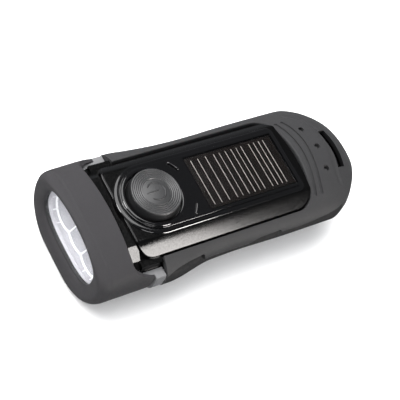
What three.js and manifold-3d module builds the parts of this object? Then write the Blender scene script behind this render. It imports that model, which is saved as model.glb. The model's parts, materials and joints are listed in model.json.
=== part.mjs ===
// Hand crank flashlight with a solar panel and three lamps.
// Millimetres. +X runs from the lens to the tail, +Z is up, and the ground is z = 0 under the middle.

import * as THREE from 'three';
import { mergeVertices } from 'three/addons/utils/BufferGeometryUtils.js';
import Module from 'manifold-3d';

const wasm = await Module();
wasm.setup();

// Driving dimensions of the whole torch
const totalLength = 141;
const gripHalfWidth = 27.5;
const deckHeight = 34;
const bellyHeight = 10;
const partingHeight = 20.7;
const runningGap = 0.3;
const slipGap = 0.08;
const cutOverrun = 2;
const frontX = -totalLength / 2;
const tailX = totalLength / 2;

// Body cross-section: crowned top, rolled shoulders, upright sides and rounded lower corners
const bodyTopDrop = 0.4;
const crownRadius = 45;
const shoulderShare = 0.82;
const sideBand = 0.5;
const lowerCornerAcross = 16;
const crownSteps = 2;
const cornerSteps = 3;
const flareDepth = 2.1;
const flareSetback = 55.3;
const flareRearX = frontX + flareSetback;
const flareLength = 21;
const flareLowerAcross = 6;
const flareLowerDrop = 3;
const tailTaperLength = 22;
const tailTopLength = 16;
const tailTopFall = 11;
const tailCrownLossShare = 0.4;
const tailRoundness = 1.75;
const tailBottomRise = 4;
const tailBluntShare = 0.985;
const tailStationShares = [0, 0.36, 0.62, 0.82, 0.94, 1];
const waistDepth = 0.6;
const waistX = -3.2;
const waistSpread = 16;
const bodyStationStep = 13;

// Rubber grip
const rubberWall = 2.3;
const gripSetback = 31.1;
const gripFrontX = frontX + gripSetback;
const gripLowerEdge = 13;
const gripNotchDepth = 3;
const gripNotchHeight = 25;
const gripNotchFoot = 18;
const scoopDepth = 1.1;
const scoopHeight = 7;
const scoopLength = 17;
const scoopFrontSetback = 5.2;
const scoopRearSetback = 57.7;
const scoopStarts = [gripFrontX + scoopFrontSetback, tailX - scoopRearSetback];
const scoopKneeShare = 0.5;
const strapSlotSetback = 12.3;
const strapSlotX = tailX - strapSlotSetback;
const strapSlotWidth = 3.4;
const strapSlotHalfLength = 9.4;
const strapSlotShift = -1.4;
const strapSlotBow = 1.2;
const dotRadius = 0.9;
const dotDepth = 1.1;
const sideDotSetback = 21.8;
const middleDotSetback = 20.4;
const sideDotX = tailX - sideDotSetback;
const middleDotX = tailX - middleDotSetback;
const dotSpread = 10.5;

// Window in the grip and the glossy insert that fills it
const windowHalfWidth = 22.6;
const windowSetback = 31.7;
const windowRearX = tailX - windowSetback;
const windowCorner = 8;
const windowBow = 1.4;
const insertSetback = 19.5;
const insertFrontX = frontX + insertSetback;
const insertFrontCorner = 8;
const insertGap = 0.4;
const insertDeckDrop = 1.5;
const insertDeckHalfWidth = 16.2;
const insertEdgeHeight = 26.8;
const insertSlopeCrown = 0.35;
const insertSkirt = 5.6;
const cornerArcSteps = 4;
const bowSteps = 4;

// Housing shells
const shellWall = 2;
const bezelDepth = 16.3;
const housingFrontX = frontX + bezelDepth;
const collarLedgeHeight = 23;
const cavitySetback = 18.7;
const cavityRearX = tailX - cavitySetback;
const boardPocketHalfWidth = 14.5;
const boardPocketTop = 30.4;
const sealThickness = 0.6;
const sealInset = 0.4;
const footFrontSetback = 23.2;
const footRearSetback = 5.7;
const footFrontX = tailX - footFrontSetback;
const footRearX = tailX - footRearSetback;
const footHalfWidth = 16;
const footCorner = 8;

// Head: rubber bezel, collar, lens, reflector and lamps
const bezelProud = 1.2;
const bezelHalfWidth = gripHalfWidth + bezelProud;
const bezelRearTop = 34.3;
const bezelLipTop = 33;
const bezelLipRadius = 4.6;
const bezelCrownRadius = 60;
const bezelSideTop = 21.4;
const bezelSideBottom = 20;
const bezelLowerAcross = 20;
const bezelRubber = 2.6;
const bezelLipSteps = 3;
const bezelTabLength = 9.6;
const bezelTabRearX = housingFrontX + bezelTabLength;
const bezelTabTop = 23.5;
const bezelTabRise = 6.5;
const bezelTabSweep = 1.75;
const bezelTabSteps = 5;
const bezelTabInner = 17.5;
const lensSideWidth = 8.7;
const lensHalfWidth = bezelHalfWidth - lensSideWidth;
const lensHalfHeight = 10.4;
const lensCentreZ = 19.4;
const lensExponent = 2.7;
const lensSides = 28;
const lensRecess = 3.3;
const lensFrontX = frontX + lensRecess;
const lensThickness = 1.6;
const lensMargin = 1.5;
const lensFlare = 1.8;
const lensFlareShare = 0.36;
const lensSealThickness = 0.7;
const reflectorGap = 0.2;
const reflectorDepth = 8.6;
const reflectorFrontX = lensFrontX + lensThickness + reflectorGap;
const reflectorRearX = reflectorFrontX + reflectorDepth;
const cupPitchShare = 0.53;
const cupPitch = lensHalfWidth * cupPitchShare;
const cupRim = 1.7;
const cupRadius = lensHalfHeight - cupRim;
const cupThroatRadius = 3;
const cupSteps = 4;
const ledRadius = 2.5;
const ledLength = 5.2;
const ledFlange = 0.4;
const ledBoardGap = 0.4;
const ledBoardFrontX = reflectorRearX + ledBoardGap;
const boardThickness = 1.6;
const ledBoardInset = 3;
const ledBoardHalfWidth = lensHalfWidth - ledBoardInset;
const ledBoardHalfHeight = 7.6;
const collarFlangeDepth = 4.8;
const collarFrontX = housingFrontX - collarFlangeDepth;
const collarSpigotLength = 3;
const collarBoreMargin = 0.5;
const collarWireInset = 4;
const collarWireHalfWidth = lensHalfWidth - collarWireInset;
const collarWireHalfHeight = 6;

// Deck panel, solar cell and button
const deckHalfWidth = 14;
const deckSkirt = 2.1;
const deckSkirtHeight = 0.8;
const deckSetback = 38.3;
const deckRearX = tailX - deckSetback;
const deckRearCorner = 1.2;
const deckNoseSteps = 10;
const deckCornerSteps = 2;
const buttonSetback = 36.2;
const buttonX = frontX + buttonSetback;
const solarSetback = 21.2;
const solarFrontX = buttonX + solarSetback;
const solarRearMargin = 1.2;
const solarRearX = deckRearX - solarRearMargin;
const solarHalfWidth = 12.4;
const solarCellThickness = 0.5;
const solarWindowThickness = 0.5;
const buttonTopRadius = 10.5;
const buttonFootRadius = 11.2;
const buttonRise = 4.65;
const buttonTravel = 1.2;
const buttonWall = 1.4;
const buttonFlangeRadius = 12.5;
const buttonFlangeHeight = 0.9;
const buttonBossRadius = 2.4;
const padThickness = 1;
const padDome = 0.45;
const padRimShare = 0.93;
const padDomeShare = 0.5;
const ringInnerRadius = 11.8;
const ringOuterRadius = 13.5;
const ringHeight = 0.7;
const buttonWellRadius = 12.9;
const buttonWellFloor = 30;
const snapRadius = 18;
const snapWidth = 1.2;
const snapHeight = 0.7;
const snapAngle = 0.61;
const snapHalfAngle = 0.08;
const snapSteps = 3;

// Boards, switch and power cells
const mainBoardBottom = 28;
const mainBoardHalfWidth = 13;
const mainBoardFrontMargin = 5.5;
const mainBoardFrontX = solarFrontX - mainBoardFrontMargin;
const mainBoardRearMargin = 3.8;
const mainBoardRearX = solarRearX + mainBoardRearMargin;
const boardPocketRoom = 1;
const boardPocketFrontX = mainBoardFrontX - boardPocketRoom;
const boardPocketRearX = mainBoardRearX + boardPocketRoom;
const switchBoardTop = 27.5;
const switchBoardHalfWidth = 10.9;
const switchBoardFrontReach = 7.9;
const switchBoardRearReach = 10.1;
const switchBoardFrontX = buttonX - switchBoardFrontReach;
const switchBoardRearX = buttonX + switchBoardRearReach;
const switchBoardThickness = 1;
const switchSize = 6;
const switchTop = 29.4;
const switchWall = 0.4;
const plungerRadius = 1.7;
const plungerTop = 30.8;
const cellRadius = 6.8;
const cellLength = 6;
const cellCount = 3;
const cellGap = 0.3;
const cellTerminalRadius = 2.4;
const cellTerminalHeight = 0.15;
const cradleBase = 0.8;
const cradleHeight = 5;
const cradleWall = 1.3;
const boardScrewRadius = 0.9;
const boardScrewHead = 1.8;
const boardScrewHeadHeight = 1.3;
const boardScrewTop = 31.5;

// Crank
const crankShift = 0.75;
const crankEndRoom = 6.75;
const crankX = (housingFrontX + footFrontX) / 2 - crankShift;
const crankReach = (footFrontX - housingFrontX) / 2 - crankEndRoom;
const crankHubRadius = 9;
const armBottom = 4.4;
const armTop = 9.3;
const armNeckHalfWidth = 4.6;
const armForkHalfWidth = 7.4;
const armTipOverhang = 5.3;
const armTipCorner = 4;
const armForkMargin = 2;
const knobRadius = 4.2;
const knobLength = 16.4;
const knobStart = 4.6;
const knobAxisZ = 5.3;
const knobSideGap = 0.5;
const knobEndRound = 0.8;
const knobWaist = 0.5;
const knobBoreRadius = 1.8;
const stemRadius = 1.7;
const stemHeadRadius = 2.8;
const stemHeadHeight = 1.2;
const stemHeadRecess = 0.6;
const stemEyeRadius = 2.5;
const eyeSlotExtra = 0.5;
const hingePinRadius = 1.1;
const shaftRadius = 3.2;
const shaftBottom = 6.8;
const shaftTop = 17.4;
const bushWall = 1.7;
const bushFlange = 1.4;
const bushFlangeHeight = 0.8;
const washerThickness = 0.4;
const washerRadius = 6;
const sealRingInner = 5.4;
const sealRingOuter = 6.5;
const sealRingBottom = 9.5;
const sealRingTop = 10.7;
const clipRadius = 4.4;
const clipBottom = 16.3;
const clipThickness = 0.6;
const clipGrooveDepth = 0.4;
const crankScrewRadius = 1.3;
const crankScrewHead = 2.7;
const crankScrewHeadHeight = 1.5;
const crankScrewLength = 8;
const crankScrewBottom = 4.7;

// Gear train from the crank to the generator
const pressureAngle = 25 * Math.PI / 180;
const addendumShare = 0.8;
const dedendumShare = 1.05;
const wheelFlankSteps = 1;
const pinionFlankSteps = 2;
const gearBacklash = 0.2;
const gearSpan = cavityRearX - crankX;
const driveModuleShare = 9 / 560;
const secondModuleShare = 7 / 560;
const thirdModuleShare = 6 / 560;
const driveModule = gearSpan * driveModuleShare;
const driveTeeth = 36;
const drivePitchRadius = driveModule * driveTeeth / 2;
const firstPinionTeeth = 12;
const cellSetback = 11.8;
const cellX = crankX - drivePitchRadius - cellSetback;
const secondModule = gearSpan * secondModuleShare;
const secondTeeth = 36;
const secondPinionTeeth = 12;
const thirdModule = gearSpan * thirdModuleShare;
const thirdTeeth = 30;
const rotorTeeth = 10;
const meshAngles = [0.281, -0.796, 0.34];
const driveBottom = 13.3;
const driveThickness = 2.9;
const driveWebInner = 6;
const driveRimWidth = 3.2;
const driveWebOuter = drivePitchRadius - driveRimWidth;
const driveWebDepth = 0.8;
const pinionOverlap = 0.3;
const secondBottom = 23.5;
const secondThickness = 1.9;
const thirdBottom = 20.5;
const thirdThickness = 2;
const gearSleeveRadius = 2.6;
const axleRadius = 1;
const axleShoulderRadius = 1.35;
const axleBottom = 11.2;
const axleTop = 27.2;
const axleBossRadius = 2.4;

// Generator
const canBottom = 12.6;
const canRadiusShare = 104 / 560;
const canRadius = gearSpan * canRadiusShare;
const canHeight = 6.6;
const canWall = 0.8;
const canLidThickness = 0.6;
const canLidHole = 1.8;
const windingGap = 0.3;
const windingDepth = 1.9;
const windingOuter = canRadius - canWall - windingGap;
const windingInner = windingOuter - windingDepth;
const windingHeight = 4.4;
const magnetGap = 0.5;
const magnetRadius = windingInner - magnetGap;
const magnetHeight = 3.8;
const magnetLift = 0.5;
const rotorShaftBottom = 12.8;

// Gearbox plate, its posts and the screws
const plateBottom = 26.1;
const plateThickness = 1.3;
const plateRoom = 0.5;
const plateMargin = 2.7;
const plateScrewFrontShare = 0.375;
const plateScrewRearShare = 46 / 56;
const plateScrewFrontX = crankX + gearSpan * plateScrewFrontShare;
const plateScrewRearX = crankX + gearSpan * plateScrewRearShare;
const plateScrewFrontY = 15;
const plateScrewRearY = 11.3;
const plateScrewPlaces = [
  [plateScrewFrontX, -plateScrewFrontY],
  [plateScrewRearX, plateScrewRearY],
];
const postRadius = 2.3;
const plateScrewRadius = 0.9;
const plateScrewHead = 1.7;
const plateScrewHeadHeight = 0.45;
const plateScrewLength = 5;
const boardScrewFrontMargin = 3.2;
const boardScrewSetback = 8.6;
const boardScrewFrontX = mainBoardFrontX + boardScrewFrontMargin;
const boardScrewRearX = plateScrewFrontX - boardScrewSetback;
const boardScrewFrontY = 9.8;
const boardScrewRearY = 10.2;
const boardScrewPlaces = [
  [boardScrewFrontX, -boardScrewFrontY],
  [boardScrewFrontX, boardScrewFrontY],
  [boardScrewRearX, -boardScrewRearY],
  [boardScrewRearX, boardScrewRearY],
];
const housingScrewFrontMargin = 6.8;
const housingScrewRearSetback = 17.5;
const housingScrewFrontX = housingFrontX + housingScrewFrontMargin;
const housingScrewRearX = tailX - housingScrewRearSetback;
const housingScrewFrontY = 13.5;
const housingScrewRearY = 12;
const housingScrewPlaces = [
  [housingScrewFrontX, -housingScrewFrontY],
  [housingScrewFrontX, housingScrewFrontY],
  [housingScrewRearX, -housingScrewRearY],
  [housingScrewRearX, housingScrewRearY],
];
const housingScrewRadius = 1.3;
const housingScrewHead = 2.5;
const housingScrewHeadHeight = 1.6;
const housingScrewBottom = 10.5;
const housingScrewLength = 15;
const screwPostRadius = 3.6;
const driveSocketShare = 0.5;
const driveSocketDepthShare = 0.6;
const driveSocketSides = 6;

const roundSides = 20;
const smallSides = 10;
const quarterTurn = Math.PI / 2;
const halfTurn = Math.PI;

// Solids

function toSolid(geometry) {
  const bare = geometry.clone();
  bare.deleteAttribute('normal');
  bare.deleteAttribute('uv');
  const merged = mergeVertices(bare);
  const vertProperties = new Float32Array(merged.attributes.position.array);
  const triVerts = new Uint32Array(merged.index.array);
  return new wasm.Manifold(new wasm.Mesh({ numProp: 3, vertProperties, triVerts }));
}

function toGeometry(solid) {
  const result = solid.getMesh();
  const geometry = new THREE.BufferGeometry();
  geometry.setAttribute('position', new THREE.BufferAttribute(result.vertProperties, 3));
  geometry.setIndex(new THREE.BufferAttribute(result.triVerts, 1));
  const faceted = geometry.toNonIndexed();
  faceted.computeVertexNormals();
  return faceted;
}

function join(...solids) {
  return solids.reduce((sum, solid) => sum.add(solid));
}

function cut(base, ...tools) {
  return tools.reduce((rest, tool) => rest.subtract(tool), base);
}

// A closed body through rings of equal point count, capped flat at both ends
function loft(rings) {
  const count = rings[0].length;
  const positions = rings.flat().flatMap((point) => [point.x, point.y, point.z]);
  const index = [];
  for (let step = 0; step < rings.length - 1; step += 1) {
    for (let side = 0; side < count; side += 1) {
      const next = (side + 1) % count;
      const here = step * count;
      const ahead = here + count;
      index.push(here + side, ahead + next, here + next);
      index.push(here + side, ahead + side, ahead + next);
    }
  }
  const last = (rings.length - 1) * count;
  for (let side = 1; side < count - 1; side += 1) {
    index.push(0, side, side + 1);
    index.push(last, last + side + 1, last + side);
  }
  const geometry = new THREE.BufferGeometry();
  geometry.setAttribute('position', new THREE.Float32BufferAttribute(positions, 3));
  geometry.setIndex(index);
  return toSolid(geometry);
}

function extruded(outline, depth) {
  return new THREE.ExtrudeGeometry(new THREE.Shape(outline), { depth, bevelEnabled: false });
}

// A plate whose outline lies in the XY plane
function plate(outline, bottom, top) {
  return toSolid(extruded(outline, top - bottom).translate(0, 0, bottom));
}

// A slab whose outline lies in the XZ plane
function slab(outline, fromY, toY) {
  return toSolid(extruded(outline, toY - fromY).rotateX(quarterTurn).translate(0, toY, 0));
}

function block(fromX, toX, fromY, toY, fromZ, toZ) {
  const geometry = new THREE.BoxGeometry(toX - fromX, toY - fromY, toZ - fromZ);
  geometry.translate((fromX + toX) / 2, (fromY + toY) / 2, (fromZ + toZ) / 2);
  return toSolid(geometry);
}

function cylinder(radius, bottom, top, sides, topRadius = radius) {
  const geometry = new THREE.CylinderGeometry(topRadius, radius, top - bottom, sides);
  return geometry.rotateX(quarterTurn).translate(0, 0, (bottom + top) / 2);
}

function rod(radius, bottom, top, [x, y] = [0, 0], sides = smallSides, topRadius = radius) {
  return toSolid(cylinder(radius, bottom, top, sides, topRadius).translate(x, y, 0));
}

// A rod along Y through the point (x, z)
function crossRod(radius, fromY, toY, x, z, sides = smallSides) {
  const geometry = cylinder(radius, fromY, toY, sides).rotateX(-quarterTurn);
  return toSolid(geometry.translate(x, 0, z));
}

function ring(innerRadius, outerRadius, bottom, top, place = [0, 0], sides = roundSides) {
  const outer = rod(outerRadius, bottom, top, place, sides);
  return cut(outer, rod(innerRadius, bottom - cutOverrun, top + cutOverrun, place, sides));
}

// A turned body about Z, from [radius, height] points that start and end on the axis
function turned(profile, sides = roundSides) {
  const points = profile.map(([radius, height]) => point(radius, height));
  return toSolid(new THREE.LatheGeometry(points, sides).rotateX(quarterTurn));
}

function point(x, y) {
  return new THREE.Vector2(x, y);
}

function arc(centreX, centreY, radius, fromAngle, toAngle, steps) {
  const points = [];
  for (let step = 0; step <= steps; step += 1) {
    const angle = fromAngle + (toAngle - fromAngle) * step / steps;
    points.push(point(centreX + radius * Math.cos(angle), centreY + radius * Math.sin(angle)));
  }
  return points;
}

// An edge across Y, bowed toward +X in the middle
function bowEdge(crestX, bow, middleY, halfLength) {
  const points = [];
  for (let step = 0; step <= bowSteps; step += 1) {
    const share = 1 - 2 * step / bowSteps;
    points.push(point(crestX - bow * share ** 2, middleY + halfLength * share));
  }
  return points;
}

// A flat bar with round ends from one place to another
function link([fromX, fromY], [toX, toY], radius, bottom, top, sides = smallSides) {
  const along = point(toX - fromX, toY - fromY);
  const across = point(-along.y, along.x).normalize().multiplyScalar(radius);
  const outline = [
    point(fromX + across.x, fromY + across.y),
    point(fromX - across.x, fromY - across.y),
    point(toX - across.x, toY - across.y),
    point(toX + across.x, toY + across.y),
  ];
  const ends = [rod(radius, bottom, top, [fromX, fromY], sides), rod(radius, bottom, top, [toX, toY], sides)];
  return join(plate(outline, bottom, top), ...ends);
}

// A cross-head screw, head down at the bottom, as two cylinders with a driver socket
function screw(radius, headRadius, headHeight, bottom, top) {
  const socketTop = bottom + headHeight * driveSocketDepthShare;
  const socket = rod(headRadius * driveSocketShare, bottom - cutOverrun, socketTop, [0, 0], driveSocketSides);
  const head = rod(headRadius, bottom, bottom + headHeight);
  return cut(join(head, rod(radius, bottom, top)), socket);
}

// Body cross-sections

function sectionRing(x, section) {
  const { halfWidth, top, bottom, sideTop, sideBottom } = section;
  const shoulderY = halfWidth * shoulderShare;
  const shoulderZ = top - shoulderY ** 2 / (2 * section.crownRadius);
  const cornerZ = shoulderZ - (halfWidth - shoulderY) * shoulderY / section.crownRadius;
  const half = [];
  for (let step = 1; step <= crownSteps; step += 1) {
    const y = shoulderY * step / crownSteps;
    half.push([y, top - y ** 2 / (2 * section.crownRadius)]);
  }
  for (let step = 1; step <= cornerSteps; step += 1) {
    const share = step / cornerSteps;
    const rest = 1 - share;
    const y = rest ** 2 * shoulderY + (1 - rest ** 2) * halfWidth;
    half.push([y, rest ** 2 * shoulderZ + 2 * rest * share * cornerZ + share ** 2 * sideTop]);
  }
  const across = Math.min(section.lowerAcross, halfWidth * tailBluntShare);
  for (let step = 0; step <= cornerSteps; step += 1) {
    const angle = quarterTurn * step / cornerSteps;
    const y = halfWidth - across * (1 - Math.cos(angle));
    half.push([y, sideBottom - (sideBottom - bottom) * Math.sin(angle)]);
  }
  const mirrored = half.map(([y, z]) => [-y, z]).reverse();
  return [[0, top], ...half, ...mirrored].map(([y, z]) => new THREE.Vector3(x, y, z));
}

function drawnIn(section, amount, below = amount) {
  return {
    ...section,
    halfWidth: section.halfWidth - amount,
    top: section.top - amount,
    bottom: section.bottom + below,
    lowerAcross: section.lowerAcross - amount,
  };
}

function smoothShare(value) {
  const share = Math.min(1, Math.max(0, value));
  return share ** 2 * (3 - 2 * share);
}

function bodySection(x, flared) {
  const taper = tailBluntShare * Math.max(0, (x - (tailX - tailTaperLength)) / tailTaperLength);
  const fall = tailBluntShare * Math.max(0, (x - (tailX - tailTopLength)) / tailTopLength);
  const waist = waistDepth * Math.exp(-(((x - waistX) / waistSpread) ** 2));
  const flare = flared ? smoothShare((flareRearX - x) / flareLength) : 0;
  const narrowing = (1 - taper ** tailRoundness) ** (1 / tailRoundness);
  return {
    halfWidth: (gripHalfWidth - waist + flareDepth * flare) * narrowing,
    top: deckHeight - bodyTopDrop - tailTopFall * (1 - Math.sqrt(1 - fall ** 2)),
    bottom: bellyHeight + tailBottomRise * taper ** 2,
    crownRadius: crownRadius * (1 - tailCrownLossShare * taper),
    sideTop: partingHeight + sideBand,
    sideBottom: partingHeight - sideBand - flareLowerDrop * flare,
    lowerAcross: lowerCornerAcross - flareLowerAcross * flare,
  };
}

function bodyStations(fromX) {
  const taperStart = tailX - tailTaperLength;
  const count = Math.round((taperStart - fromX) / bodyStationStep);
  const stations = [];
  for (let step = 0; step < count; step += 1) {
    stations.push(fromX + (taperStart - fromX) * step / count);
  }
  return stations.concat(tailStationShares.map((share) => taperStart + share * tailTaperLength));
}

// The body drawn in on its sides, top and tail, and by its own amount below
function bodyLoft(fromX, amount, below, flared = false) {
  const reach = (tailX - amount - fromX) / (tailX - fromX);
  return loft(bodyStations(fromX).map((x) => {
    const section = drawnIn(bodySection(x, flared), amount, below);
    return sectionRing(fromX + (x - fromX) * reach, section);
  }));
}

// The same section drawn in over a stretch of the body only
function bodyStretch(fromX, toX, amount, below, flared = false) {
  const stations = bodyStations(fromX).filter((x) => x < toX).concat(toX);
  return loft(stations.map((x) => sectionRing(x, drawnIn(bodySection(x, flared), amount, below))));
}

function windowOutline(gap, startX) {
  const rearX = windowRearX - gap;
  const side = windowHalfWidth - gap;
  const rearCorner = windowCorner - gap;
  const frontCorner = insertFrontCorner - gap;
  const rearCentre = rearX - windowBow - rearCorner;
  const frontCentre = startX + frontCorner;
  return [
    ...arc(rearCentre, side - rearCorner, rearCorner, quarterTurn, 0, cornerArcSteps),
    ...bowEdge(rearX, windowBow, 0, side - rearCorner).slice(1, -1),
    ...arc(rearCentre, rearCorner - side, rearCorner, 0, -quarterTurn, cornerArcSteps),
    ...arc(frontCentre, frontCorner - side, frontCorner, -quarterTurn, -halfTurn, cornerArcSteps),
    ...arc(frontCentre, side - frontCorner, frontCorner, halfTurn, quarterTurn, cornerArcSteps),
  ];
}

// The insert: a flat deck with a slope down to the rail on each side
function insertBody() {
  const deck = deckHeight - insertDeckDrop;
  const side = windowHalfWidth - insertGap;
  const half = [
    [insertDeckHalfWidth, deck],
    [(insertDeckHalfWidth + side) / 2, (deck + insertEdgeHeight) / 2 + insertSlopeCrown],
    [side, insertEdgeHeight],
    [side, insertEdgeHeight - insertSkirt],
  ];
  const section = (x) => [
    ...half.map(([y, z]) => new THREE.Vector3(x, y, z)),
    ...half.map(([y, z]) => new THREE.Vector3(x, -y, z)).reverse(),
  ];
  const outline = windowOutline(insertGap, insertFrontX);
  return loft([section(insertFrontX), section(windowRearX)]).intersect(plate(outline, 0, deckHeight));
}

function strapSlot() {
  const edge = (offset) => bowEdge(strapSlotX + offset, strapSlotBow, strapSlotShift, strapSlotHalfLength);
  const outline = [...edge(-strapSlotWidth / 2), ...edge(strapSlotWidth / 2).reverse()];
  return plate(outline, -cutOverrun, deckHeight + cutOverrun);
}

// Rubber grip

function gripFrontCut() {
  const top = deckHeight + cutOverrun;
  const start = gripFrontX - bodyStationStep;
  const outline = [
    point(start, 0),
    point(gripFrontX, 0),
    point(gripFrontX, gripNotchFoot),
    point(gripFrontX + gripNotchDepth, gripNotchHeight),
    point(gripFrontX, gripNotchHeight + gripNotchDepth),
    point(gripFrontX, top),
    point(start, top),
  ];
  const side = gripHalfWidth + flareDepth + cutOverrun;
  return slab(outline, -side, side);
}

function scoopCut(startX, side) {
  const low = gripLowerEdge - cutOverrun;
  const high = gripLowerEdge + scoopHeight;
  const knee = gripLowerEdge + scoopHeight * scoopKneeShare;
  const outline = [
    point(startX, low),
    point(startX + scoopLength, low),
    point(startX + scoopLength, high),
    point(startX + scoopLength * scoopKneeShare, knee),
  ];
  const inner = side * (gripHalfWidth - scoopDepth);
  const outer = side * (gripHalfWidth + flareDepth + cutOverrun);
  return slab(outline, Math.min(inner, outer), Math.max(inner, outer));
}

function tailGrip() {
  const side = gripHalfWidth + flareDepth + cutOverrun;
  const dots = [[sideDotX, -dotSpread], [middleDotX, 0], [sideDotX, dotSpread]];
  const startX = gripFrontX - bodyStationStep / 2;
  const frontWindow = insertFrontX - cutOverrun - insertFrontCorner;
  return cut(
    bodyLoft(startX, 0, 0, true),
    bodyLoft(startX - cutOverrun, rubberWall, -cutOverrun),
    gripFrontCut(),
    plate(windowOutline(0, frontWindow), insertEdgeHeight - insertSkirt, deckHeight + cutOverrun),
    block(startX - cutOverrun, tailX + cutOverrun, -side, side, 0, gripLowerEdge),
    strapSlot(),
    ...scoopStarts.flatMap((x) => [scoopCut(x, 1), scoopCut(x, -1)]),
    ...dots.map((place) => {
      return rod(dotRadius, deckHeight - bodyTopDrop - dotSag(place) - dotDepth, deckHeight, place);
    }),
  );
}

// How far the grip's top has dropped below its crest at a place
function dotSag([, y]) {
  return y ** 2 / (2 * crownRadius);
}

// Housing shells

function housingOuter() {
  const side = gripHalfWidth + flareDepth + cutOverrun;
  const collarRear = gripFrontX - runningGap;
  const collar = collarBand()
    .intersect(block(housingFrontX, collarRear, -side, side, 0, partingHeight - sealThickness / 2));
  const strip = bodyLoft(collarRear - slipGap, 0, 0)
    .intersect(block(collarRear - slipGap, tailX, -side, side, 0, gripLowerEdge - runningGap));
  return join(bodyLoft(housingFrontX, rubberWall + runningGap, 0), collar, strip, insertBody(), foot());
}

// The band behind the bezel: under the tabs it stands back, behind them it is flush with the grip
function collarBand() {
  const rear = gripFrontX - runningGap;
  return join(
    bodyStretch(housingFrontX + runningGap, rear, runningGap, runningGap),
    bodyStretch(bezelTabRearX + runningGap, rear, 0, 0, true),
  );
}

// The band's upper edge, which stands up round the outside of the upper shell
function collarLedge() {
  const side = gripHalfWidth + flareDepth + cutOverrun;
  const low = partingHeight - sealThickness / 2 - slipGap;
  const slice = block(housingFrontX, gripFrontX, -side, side, low, collarLedgeHeight);
  return cut(collarBand().intersect(slice), bodyLoft(housingFrontX - cutOverrun, rubberWall, -cutOverrun));
}

function foot() {
  const half = footHalfWidth - footCorner;
  const rear = footRearX - footCorner;
  const front = footFrontX + footCorner;
  const outline = [
    ...arc(rear, half, footCorner, quarterTurn, 0, cornerArcSteps),
    ...arc(rear, -half, footCorner, 0, -quarterTurn, cornerArcSteps),
    ...arc(front, -half, footCorner, -quarterTurn, -halfTurn, cornerArcSteps),
    ...arc(front, half, footCorner, halfTurn, quarterTurn, cornerArcSteps),
  ];
  return plate(outline, 0, gripLowerEdge - runningGap);
}

function housingCavity() {
  const wall = rubberWall + runningGap + shellWall;
  const room = bodyStretch(housingFrontX - cutOverrun, cavityRearX, wall, shellWall);
  const pocket = block(
    boardPocketFrontX,
    boardPocketRearX,
    -boardPocketHalfWidth,
    boardPocketHalfWidth,
    partingHeight,
    boardPocketTop,
  );
  return join(room, pocket);
}

function screwPosts() {
  return housingScrewPlaces.map((place) => rod(screwPostRadius, 0, deckHeight, place));
}

function screwHoles() {
  return housingScrewPlaces.flatMap((place) => {
    const shankBottom = housingScrewBottom + housingScrewHeadHeight;
    const shankTop = housingScrewBottom + housingScrewLength + runningGap;
    return [
      rod(housingScrewHead + runningGap, -cutOverrun, shankBottom, place),
      rod(housingScrewRadius + slipGap, 0, shankTop, place),
    ];
  });
}

function halfSlab(bottom, top) {
  const side = gripHalfWidth + cutOverrun;
  return block(frontX, tailX, -side, side, bottom, top);
}

function upperHousing() {
  const bottom = partingHeight + sealThickness / 2;
  const button = [buttonX, 0];
  const half = (switchSize / 2) + runningGap;
  const boardBosses = boardScrewPlaces.map((place) => {
    return rod(boardScrewHead, mainBoardBottom + boardThickness, boardPocketTop + slipGap, place);
  });
  const boardHoles = boardScrewPlaces.map((place) => {
    return rod(boardScrewRadius + slipGap, mainBoardBottom, boardScrewTop + slipGap, place);
  });
  const outside = housingOuter().intersect(halfSlab(bottom, deckHeight));
  const cavity = cut(housingCavity(), ...screwPosts());
  const shell = cut(outside, cavity, gearboxRoom());
  return cut(
    join(shell, ...boardBosses),
    rod(buttonWellRadius, buttonWellFloor, deckHeight, button, roundSides),
    block(buttonX - half, buttonX + half, -half, half, bottom, deckHeight),
    strapSlot(),
    ...boardHoles,
    ...screwHoles(),
  );
}

function lowerHousing() {
  const top = partingHeight - sealThickness / 2;
  const crank = [crankX, 0];
  const [, first, second] = gearPlaces();
  const cavity = cut(housingCavity(), ...screwPosts());
  const shell = cut(housingOuter().intersect(halfSlab(0, top)), cavity);
  const floor = bellyHeight + shellWall;
  const posts = plateScrewPlaces.map((place) => rod(postRadius, floor - slipGap, plateBottom, place));
  const bossTop = driveBottom - 2 * runningGap;
  const screwBottom = plateBottom - plateScrewLength;
  return cut(
    join(shell, collarLedge(), ...posts, rod(axleBossRadius, floor - slipGap, bossTop, first)),
    rod(shaftRadius + bushWall + 2 * slipGap, 0, deckHeight, crank, roundSides),
    ring(sealRingInner - slipGap, sealRingOuter + slipGap, 0, sealRingTop + slipGap, crank),
    strapSlot(),
    rod(axleRadius + slipGap, axleBottom - slipGap, deckHeight, first),
    rod(axleShoulderRadius + slipGap, axleBottom - slipGap, deckHeight, second),
    ...plateScrewPlaces.map((place) => rod(plateScrewRadius + slipGap, screwBottom, deckHeight, place)),
    ...screwHoles(),
  );
}

// The gasket in the parting line, set back a little from the outside
function housingSeal() {
  const slice = halfSlab(partingHeight - sealThickness / 2, partingHeight + sealThickness / 2);
  const outside = bodyLoft(housingFrontX, rubberWall + runningGap + sealInset, 0).intersect(slice);
  const front = block(frontX, housingFrontX + sealInset, -gripHalfWidth, gripHalfWidth, 0, deckHeight);
  return cut(outside, housingCavity(), front, strapSlot(), ...screwHoles());
}

// Head

function bezelSection(x, amount) {
  const share = (x - frontX) / (housingFrontX - frontX);
  const lowered = Math.min(1, share);
  return drawnIn({
    halfWidth: bezelHalfWidth,
    top: bezelLipTop + (bezelRearTop - bezelLipTop) * lowered,
    bottom: 0,
    crownRadius: bezelCrownRadius,
    sideTop: bezelSideTop,
    sideBottom: bezelSideBottom,
    lowerAcross: bezelLowerAcross,
  }, amount);
}

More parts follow.
